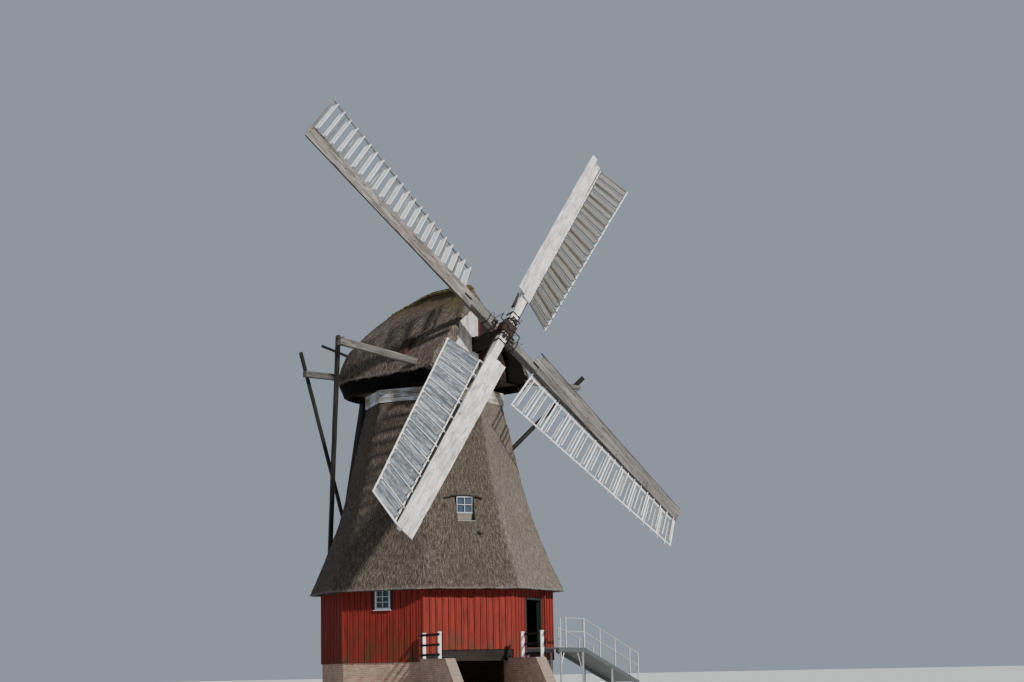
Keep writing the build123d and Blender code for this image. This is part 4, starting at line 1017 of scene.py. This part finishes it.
for k in "abcd":
    b = Build()
    cuts = [0.0, 0.36, 0.70, 1.0] if k != "b" else [0.0, 0.5, 1.0]
    for pi_, (v0, v1) in enumerate(zip(cuts[:-1], cuts[1:])):
        x0 = 1.78
        joints = sorted([1.78 + ROOTS[k][pi_]] + [1.78 + 9.0 * (j + 0.3 * rng.random() + 0.15 * pi_) / 3 for j in (1, 2)] + [END[k] if k != "b" else 10.86 + 0.29 * (pi_ / 1.0)])
        if k == "b":
            joints[-1] = 10.90 if pi_ == 0 else 11.15
        for xa, xb in zip(joints[:-1], joints[1:]):
            n = max(3, int((xb - xa) / 0.3))
            V, L = [], []
            for i in range(n + 1):
                x = xa + 0.003 + (xb - xa - 0.006) * i / n
                g0 = v0 + (0.006 if v0 > 0 else 0.0); g1 = v1 - 0.004
                if v1 == 1.0:
                    g1 -= 0.012 * abs(rng.standard_normal()) * (2.0 if k == "a" else 0.6)
                for (vv, dz) in ((g0, 0.001), (g1, 0.001), (g1, 0.034), (g0, 0.034)):
                    V.append(board_pt(k, x, vv, dz)); L.append((x, vv * 0.75, dz))
            F = [(i * 4 + j, i * 4 + (j + 1) % 4, (i + 1) * 4 + (j + 1) % 4, (i + 1) * 4 + j) for i in range(n) for j in range(4)]
            F = [tuple(reversed(f)) for f in F]
            F += [(0, 1, 2, 3), tuple(n * 4 + j for j in (3, 2, 1, 0))]
            b.add(V, F, L)
    b.make(f"leading_planks_{k}", "rotor", [MB[k]], "sail_paint", ("leading_boards",) if k == "a" else (), M=sail(k))
b = Build()
for k in "abcd":                                       # bolts through the boards, dark edge strip on the weathered sail
    S_ = np.array(sail(k))
    for i, x in enumerate(np.arange(2.2, 10.8, 0.95)):
        for v in (0.14, 0.46) if i % 2 else (0.28,):
            p = board_pt(k, x, v, 0.034); q = board_pt(k, x, v, 0.048)
            rod(b, tf(S_, p), tf(S_, q), 0.045, k=6)
b.make("board_bolts", "rotor", [M_IRON], "iron")
b = Build()
for k in ("a", "c"):
    P = [board_pt(k, x, 1.0, 0.018) + np.array([0, 0.010, 0]) for x in np.linspace(1.85, 10.8, 30)]
    S = [chamfered(0.035, 0.05, 0.006)] * 30
    b2 = Build()
    sweep(b2, P, np.array([0, 1.0, 0]), np.array([0, 0, 1.0]), S, 0.5)
    b.add(tf(sail(k), b2.V[0]), b2.F, b2.L[0], 0.5)
b.make("leading_edges", "rotor", [M_DARKWOOD], "timber")

# ------------------------------------------------------------------ lattices
R0, R1, TIN, TOUT, BAYS = 2.10, 10.80, 0.353, 1.813, 11
W0, W1 = radians(15.7), radians(-13.5)
def rail(t, f, dz=0.0):
    y = -t * ((1 - f) * cos(W0) + f * cos(W1))
    z = -t * ((1 - f) * sin(W0) + f * sin(W1))
    return np.array([R0 + (R1 - R0) * f, y, z + dz])
def trail_dir(f):
    return unit(rail(1, f) - rail(0, f))
def surf_n(f):
    n = np.cross((1, 0, 0), trail_dir(f))
    return unit(n if n[2] > 0 else -n)
for k in "abcd":
    b = Build()
    mt = 1 if k == "a" else 0
    for t in (TIN, TOUT):
        P = [rail(t, f) + 0.003 * rng.standard_normal(3) for f in np.linspace(0, 1, 24)]
        P[0], P[-1] = rail(t, 0), rail(t, 1)
        sweep(b, P, np.array([0, 1.0, 0]), np.array([0, 0, 1.0]), [chamfered(0.05, 0.05, 0.008)] * 24, None, mt if t == TOUT or k == "a" else 0)
    P = [rail(TIN + 0.085, f, 0.03) for f in np.linspace(0.0, 1, 16)]
    for i in range(BAYS + 1):
        f = i / BAYS
        n, d = surf_n(f), trail_dir(f)
        ox = 0.025 if i == 0 else (-0.025 if i == BAYS else 0.0)
        a = rail(0, f) + d * 0.10; c = rail(TOUT, f) + d * (0.025 + 0.01 * rng.random())
        a[0] += ox; c[0] += ox
        mid_ = (a + c) / 2 + n * 0.004 * rng.standard_normal()
        x_ = np.array([1.0, 0, 0]); y_ = n
        # sail b's bars are thinner and dark: weathered timber with painted shade
        sweep(b, [a, mid_, c], x_, y_, [chamfered(0.034, 0.036, 0.006) if k == "b" else chamfered(0.058, 0.042, 0.007)] * 3, None, 2 if k == "b" else 0)
    b.make(f"lattice_{k}", "rotor", [M_BARS if k != "a" else M_TAN, M_SAILGREY, M_LATH_SHADED], "sail_wood", ("sail_lattices",) if k == "a" else (), M=sail(k))

# ------------------------------------------------------------------ shutters
OPEN, CH = {"a": radians(-82), "b": radians(-82), "c": radians(-82), "d": radians(-52)}, 0.310
for k in "abcd":
    b, bf = Build(), Build()
    for i in range(2 * BAYS):
        f = (i + 0.5) / (2 * BAYS)
        n, d = surf_n(f), trail_dir(f)
        c0 = (rail(TIN, f) + rail(TOUT, f)) / 2
        ln = np.linalg.norm(rail(TOUT, f) - rail(TIN, f)) - 0.068
        er = np.cross(d, n)
        er = er if er[0] > 0 else -er
        a_ = OPEN[k] + radians(1.5 * rng.standard_normal())
        ch = er * cos(a_) + n * sin(a_)
        nn = np.cross(ch, d)
        u0 = -ln / 2
        # film, thin and wrinkled, the wrinkles fading out towards its edges
        nu, nv = 18, 7
        wa = 1.0 if k == "d" else 0.35
        w_ = wa * (0.010 * smooth_noise((nu, nv), (5, 3), 900 + i + 40 * ord(k)) + 0.005 * smooth_noise((nu, nv), (9, 5), 1900 + i + 40 * ord(k)))
        rr = rng.random()
        for side in (0,):
            V, L = [], []
            for s_ in (-1, 1):
                for iu in range(nu):
                    tu = iu / (nu - 1)
                    for iv in range(nv):
                        tv = iv / (nv - 1) - 0.5
                        e_ = min(1.0, 4 * tu, 4 * (1 - tu)) * (1 - (2 * abs(tv)) ** 3)
                        p = c0 + d * (u0 + 0.004 + tu * (ln - 0.008)) + ch * (tv * (CH - 0.010)) + nn * (w_[iu, iv] * e_ + s_ * 0.0012)
                        V.append(p); L.append((tu * ln, tv * CH, 0))
            F = grid_faces(nu, nv) + grid_faces(nu, nv, flip=True, off=nu * nv)
            h_ = nu * nv
            rim = [iu * nv for iu in range(nu)] + [(nu - 1) * nv + iv for iv in range(1, nv)] + [iu * nv + nv - 1 for iu in range(nu - 2, -1, -1)] + [iv for iv in range(nv - 2, 0, -1)]
            for q in range(len(rim)):
                F.append((rim[q], rim[(q + 1) % len(rim)], h_ + rim[(q + 1) % len(rim)], h_ + rim[q]))
            bf.add(V, F, L, rr)
        # frame of the shutter: two long laths and two short ones, and a pin at each end
        for tv in (-0.5, 0.5):
            p_ = c0 + ch * (tv * (CH - 0.020)); q_ = d * (ln / 2)
            beam(b, p_ - q_, p_ + q_, 0.020, 0.030, up=tuple(nn), bev=0.003, m=0)
        for tu in (-0.49, 0.49):
            p_ = c0 + d * (tu * ln)
            beam(b, p_ - ch * (CH / 2 - 0.016), p_ + ch * (CH / 2 - 0.016), 0.016, 0.014, up=tuple(nn), bev=0.002, m=0)
        rod(b, c0 - d * (ln / 2 + 0.03), c0 - d * (ln / 2), 0.018, k=6, m=0)
        rod(b, c0 + d * (ln / 2), c0 + d * (ln / 2 + 0.03), 0.018, k=6, m=0)
    bf.make(f"shutter_film_{k}", "rotor", [M_FILM[k]], "sail_film", (f"shutters_{k}",), smooth=True, M=sail(k))
    # sail b's laths take the same weathered and shaded colour
    b.make(f"shutter_laths_{k}", "rotor", [{"a": M_BARS, "b": M_LATH_SHADED, "c": M_BARS, "d": M_LATHB}[k]], "sail_wood", M=sail(k))

# ------------------------------------------------------------------ irons of the rotor
b = Build()
for k in "abcd":
    S_ = sail(k)
    p0_, p1_ = rail(0.275, 0) + [-1.55, 0, 0.062], rail(0.275, 1) + [-0.06, 0, 0.062]
    rod(b, p0_, p1_, 0.030, k=8, M=S_)
    for i in range(2 * BAYS):                           # small arms from the pull rod to each shutter
        f = (i + 0.5) / (2 * BAYS)
        q = p0_ + (p1_ - p0_) * ((rail(0, f)[0] - p0_[0]) / (p1_[0] - p0_[0]))
        rod(b, q, rail(TIN + 0.06, f, 0.05), 0.016, k=6, M=S_)
b.make("pull_rod_irons", "rotor", [M_IRON2], "iron", ("pull_rods",))
b = Build()
RA = ROT @ Matrix.Rotation(radians(SAIL_ANGLE), 4, "Z")
g = 0.290
for zc in (0.345, -0.44):                                # straps round the poll end
    for (x0, y0, x1, y1) in ((-g, -g, g, -g), (g, -g, g, g), (g, g, -g, g), (-g, g, -g, -g)):
        nx, ny = (y1 - y0), -(x1 - x0)
        ln_ = math.hypot(nx, ny)
        beam(b, (x0, y0, zc), (x1, y1, zc), 0.022, 0.09, up=(0, 0, 1), bev=0.004, M=RA)
for (k, side) in (("b", 1), ("a", -1)):
    S_ = sail(k)
    for dx in (-1, 1):                                  # wedges and clamps where the stocks pass through
        for x in (0.42, 0.80):
            q = 0.185
            for (y0, z0_, y1, z1_) in ((-q, q, q, q), (q, q, q, -q), (q, -q, -q, -q), (-q, -q, -q, q)):
                beam(b, (dx * x, y0, z0_), (dx * x, y1, z1_), 0.075 if x > 0.5 else 0.11, 0.018, up=(1, 0, 0), bev=0.004, M=S_)
            for y0 in (-0.10, 0.10):
                rod(b, (dx * x, y0, 0.19), (dx * x, y0, 0.23), 0.05, k=6, M=S_)
        beam(b, (dx * 0.36, 0.12, 0.19), (dx * 0.62, 0.05, 0.195), 0.10, 0.05, bev=0.006, M=S_)
        beam(b, (dx * 0.36, -0.12, 0.19), (dx * 0.60, -0.09, 0.20), 0.08, 0.06, bev=0.006, M=S_)
beam(b, (1.22, 0.20, 0.02), (1.90, 0.30, 0.04), 0.15, 0.07, h1=0.03, w1=0.05, bev=0.006, n=4, M=sail("b"))
beam(b, (1.22, 0.195, -0.08), (1.75, 0.195, -0.08), 0.05, 0.10, bev=0.006, M=sail("b"))
for k in "abcd":                                         # bent rods and hooks about the poll end
    S_ = sail(k)
    for dx, dy in ((0.44, 0.24), (0.62, -0.25), (0.88, 0.22)):
        a_ = np.array([dx, dy * 0.8, 0.20]); c_ = a_ + [0.10, dy * 0.35, 0.05 + 0.05 * rng.random()]; e_ = c_ + [0.13 * (rng.random() - 0.3), dy * 0.25, -0.12]
        rod(b, a_, c_, 0.022, k=6, M=S_); rod(b, c_, e_, 0.020, k=6, M=S_)
b.make("hub_irons", "rotor", [M_IRON2], "iron")
b = Build()
beam(b, (0.34, -0.262, 0.085), (2.06, -0.240, 0.085), 0.18, 0.045, w1=0.13, n=14, wob=0.014, bev=0.008, m=1, M=sail("a"))
beam(b, (0.30, -0.205, 0.02), (2.06, -0.200, 0.03), 0.070, 0.060, n=14, wob=0.010, bev=0.010, M=sail("a"))
beam(b, (0.40, -0.200, -0.06), (1.55, -0.200, -0.07), 0.06, 0.05, n=9, wob=0.012, bev=0.008, M=sail("a"))
b.make("root_battens", "rotor", [M_ROOTW, M_SAILGREY], "timber")
b = Build()
for j in range(10):                                      # bolt heads and plate on the poll end
    a = 2 * pi * j / 10
    rod(b, (0.22 * cos(a), 0.22 * sin(a), 0.40), (0.22 * cos(a), 0.22 * sin(a), 0.425), 0.045, k=6, M=ROT)
beam(b, (-0.25, 0, 0.407), (0.25, 0, 0.407), 0.50, 0.014, up=(0, 0, 1), bev=0.004, M=RA)
b.make("poll_plate", "rotor", [M_IRON], "iron")

# ------------------------------------------------------------------ railings, ramp, landing
b = Build()
M1 = face(1)
SL = (2.240 - 0.925) / (6.9 - 1.6)
def dz_(a):
    return 2.240 if a <= 1.6 else 2.240 - SL * (a - 1.6)
for a in np.arange(-0.72, 1.58, 0.034):                  # grating bars of the landing
    beam(b, (a, -APO - 0.03, 2.243), (a, -APO - 1.42, 2.243), 0.006, 0.008, bev=0.001, M=M1)
for a in np.arange(1.62, 6.88, 0.05):                    # tread strips on the ramp
    beam(b, (a, -APO - 0.20, dz_(a) + 0.004), (a, -APO - 1.42, dz_(a) + 0.004), 0.008, 0.009, bev=0.001, M=M1)
rod(b, (-0.15, -APO - 1.36, 2.08), (-0.53, -APO - 1.36, 1.40), 0.04, M=M1)
rod(b, (1.05, -APO - 1.36, 2.08), (1.44, -APO - 1.36, 1.40), 0.04, M=M1)
for a in (-0.05, 1.6, 3.1, 4.55, 6.02, 6.866, -0.55):     # foot plates of the posts
    beam(b, (a - 0.05, -APO - 1.40, dz_(a) + 0.010), (a + 0.05, -APO - 1.40, dz_(a + 0.05) + 0.012), 0.10, 0.010, bev=0.002, M=M1)
b.make("ramp_details", "tower", [M_GALV], "galvanised")
b = Build()
for s_, s1 in ((-1, 2.3), (1, 3.05)):
    for s in ((0.3 if s_ < 0 else 0.9), s1):
        beam(b, (s_ * 1.80, -APO - s, 2.80), (s_ * 1.80, -APO - s, 2.83), 0.13, 0.13, up=(0, 1, 0), bev=0.012)
b.make("post_caps", "tower", [M_PWHITE], "white_paint")
# coping bricks on the wing walls
b = Build()
for sx in (-1, 1):
    for i in range(14):
        y0 = -APO - 0.02 - i * 0.226
        z0_ = 1.88 - 0.02 * (i * 0.226) / 3.2
        beam(b, (sx * 1.505, y0 - 0.107, z0_ + 0.0), (sx * 1.875, y0 - 0.107, z0_ + 0.0), 0.214, 0.05, up=(0, 0, 1), bev=0.008)
    d_ = unit(np.array([0, -(4.16 - 3.2), 1.075 - 1.86]))
    st_ = np.array([0, -APO - 3.2, 1.86])
    for i in range(11):
        p_ = st_ + d_ * (0.11 + i * 0.226)
        if p_[2] < 0.40:
            break
        beam(b, (sx * 1.505, p_[1], p_[2]), (sx * 1.875, p_[1], p_[2]), 0.214, 0.05, up=(0, d_[2], -d_[1]), bev=0.008)
b.make("wing_copings", "tower", [stone("coping", (0.34, 0.25, 0.20))], "brick")

# ------------------------------------------------------------------ materials of the CAD nodes that stay
def paint(node, mat):
    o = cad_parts[node]
    if len(o.data.materials) == 0:
        o.data.materials.append(mat)
    for s_ in o.material_slots:
        s_.material = mat
M_FLOORW = wood("floor_timber", (0.03, 0.022, 0.016), (0.09, 0.07, 0.05), (0.16, 0.13, 0.10), axis=(1, 0, 0))
# painted shade: the passage lintel is made near-black, as it lies in the shade under the boarded storey
M_LINTEL_SHADED = wood("lintel_timber_painted_shade", (0.006, 0.005, 0.004), (0.018, 0.014, 0.011), (0.045, 0.036, 0.028), axis=(1, 0, 0))
M_JOIST = wood("joist_timber", (0.03, 0.022, 0.016), (0.08, 0.06, 0.045), (0.15, 0.12, 0.09), axis=(0, 1, 0))
M_CAPW = wood("cap_timber", (0.02, 0.016, 0.012), (0.06, 0.048, 0.038), (0.12, 0.10, 0.08), axis=tuple(CAP @ Vector((1, 0, 0))))
# painted shade: the windshaft is made near-black, as it lies in shade behind the hub
M_SHAFT_SHADED = wood("shaft_timber_painted_shade", (0.006, 0.005, 0.004), (0.022, 0.017, 0.013), (0.055, 0.043, 0.034), axis=tuple((ROT.to_3x3() @ Vector((0, 0, 1)))))
M_DOORW = wood("door_paint", (0.010, 0.014, 0.010), (0.014, 0.022, 0.018), (0.03, 0.05, 0.04), paint=(0.012, 0.026, 0.019), paint_at=(0.36, 0.50), axis=(0, 0, 1))
M_FRAMEW = wood("frame_white_paint", (0.30, 0.29, 0.27), (0.55, 0.54, 0.52), (0.72, 0.71, 0.69), paint=(0.84, 0.84, 0.82), paint_at=(0.30, 0.42), axis=(0, 0, 1))
M_RAILW = wood("rail_black_paint", (0.010, 0.010, 0.011), (0.016, 0.016, 0.018), (0.035, 0.034, 0.033), paint=(0.014, 0.014, 0.016), paint_at=(0.3, 0.42), axis=(0, 1, 0))
M_GBACK = wood("gable_backing", (0.02, 0.008, 0.006), (0.05, 0.015, 0.010), (0.09, 0.03, 0.02), axis=(0, 0, 1))
for n_ in ("walls_square", "walls_diagonal", "door_head_and_sill"):
    paint(n_, M_REDBACK)
for n_ in ("base_square", "base_diagonal", "wing_walls"):
    paint(n_, M_BRICK)
paint("cellar_floor", M_STONE)
paint("passage_lintel", M_LINTEL_SHADED); paint("floor_joists", M_JOIST); paint("mill_floor", M_FLOORW)
paint("door_frame", M_DOORW); paint("door_leaf", M_DOORW)
paint("window_frames", M_FRAMEW); paint("window_glass", M_GLASS)
for n_ in ("curb_square", "curb_diagonal", "cap_ring", "cap_floor", "tail_beam", "shaft_beams"):
    paint(n_, M_CAPW)
paint("front_gable", M_GBACK)
paint("railing_posts", M_FRAMEW); paint("railing_bars", M_RAILW)
M_DECK = galv("deck_steel", 0.28)
paint("landing_deck", M_DECK); paint("ramp_deck", M_DECK)
for n_ in ("ramp_railings", "ramp_legs"):
    paint(n_, M_GALV)
paint("windshaft", M_SHAFT_SHADED); paint("poll_end", M_IRON); paint("spider_cross", M_IRON2)

# ------------------------------------------------------------------ floor and light
fm = Mat("floor_pale")
fn = fm.noise(fm.scaled(fm.pos(), (0.3, 0.3, 0.3)), 1.0, 3.0)
floor_mat = fm.done(fm.mix(fn, (0.62, 0.62, 0.61), (0.66, 0.66, 0.65)), 0.9, spec=0.1)
me = bpy.data.meshes.new("floor")
S_ = 400.0
me.from_pydata([(-S_, -S_, 0), (S_, -S_, 0), (S_, S_, 0), (-S_, S_, 0)], [], [(0, 1, 2, 3)])
me.materials.append(floor_mat)
fo = bpy.data.objects.new("floor", me)
bpy.context.collection.objects.link(fo)
world = bpy.data.worlds.new("studio")
world.use_nodes = True
world.node_tree.nodes["Background"].inputs[0].default_value = (0.66, 0.76, 0.90, 1)
world.node_tree.nodes["Background"].inputs[1].default_value = 0.43
bpy.context.scene.world = world
sun = bpy.data.objects.new("sun", bpy.data.lights.new("sun", "SUN"))
sun.data.energy, sun.data.angle, sun.data.color = 5.2, radians(2.5), (1.0, 0.97, 0.92)
d_ = Vector((0.323, -0.799, 0.508)).normalized()            # towards the light
sun.rotation_euler = d_.to_track_quat("Z", "Y").to_euler()
bpy.context.collection.objects.link(sun)
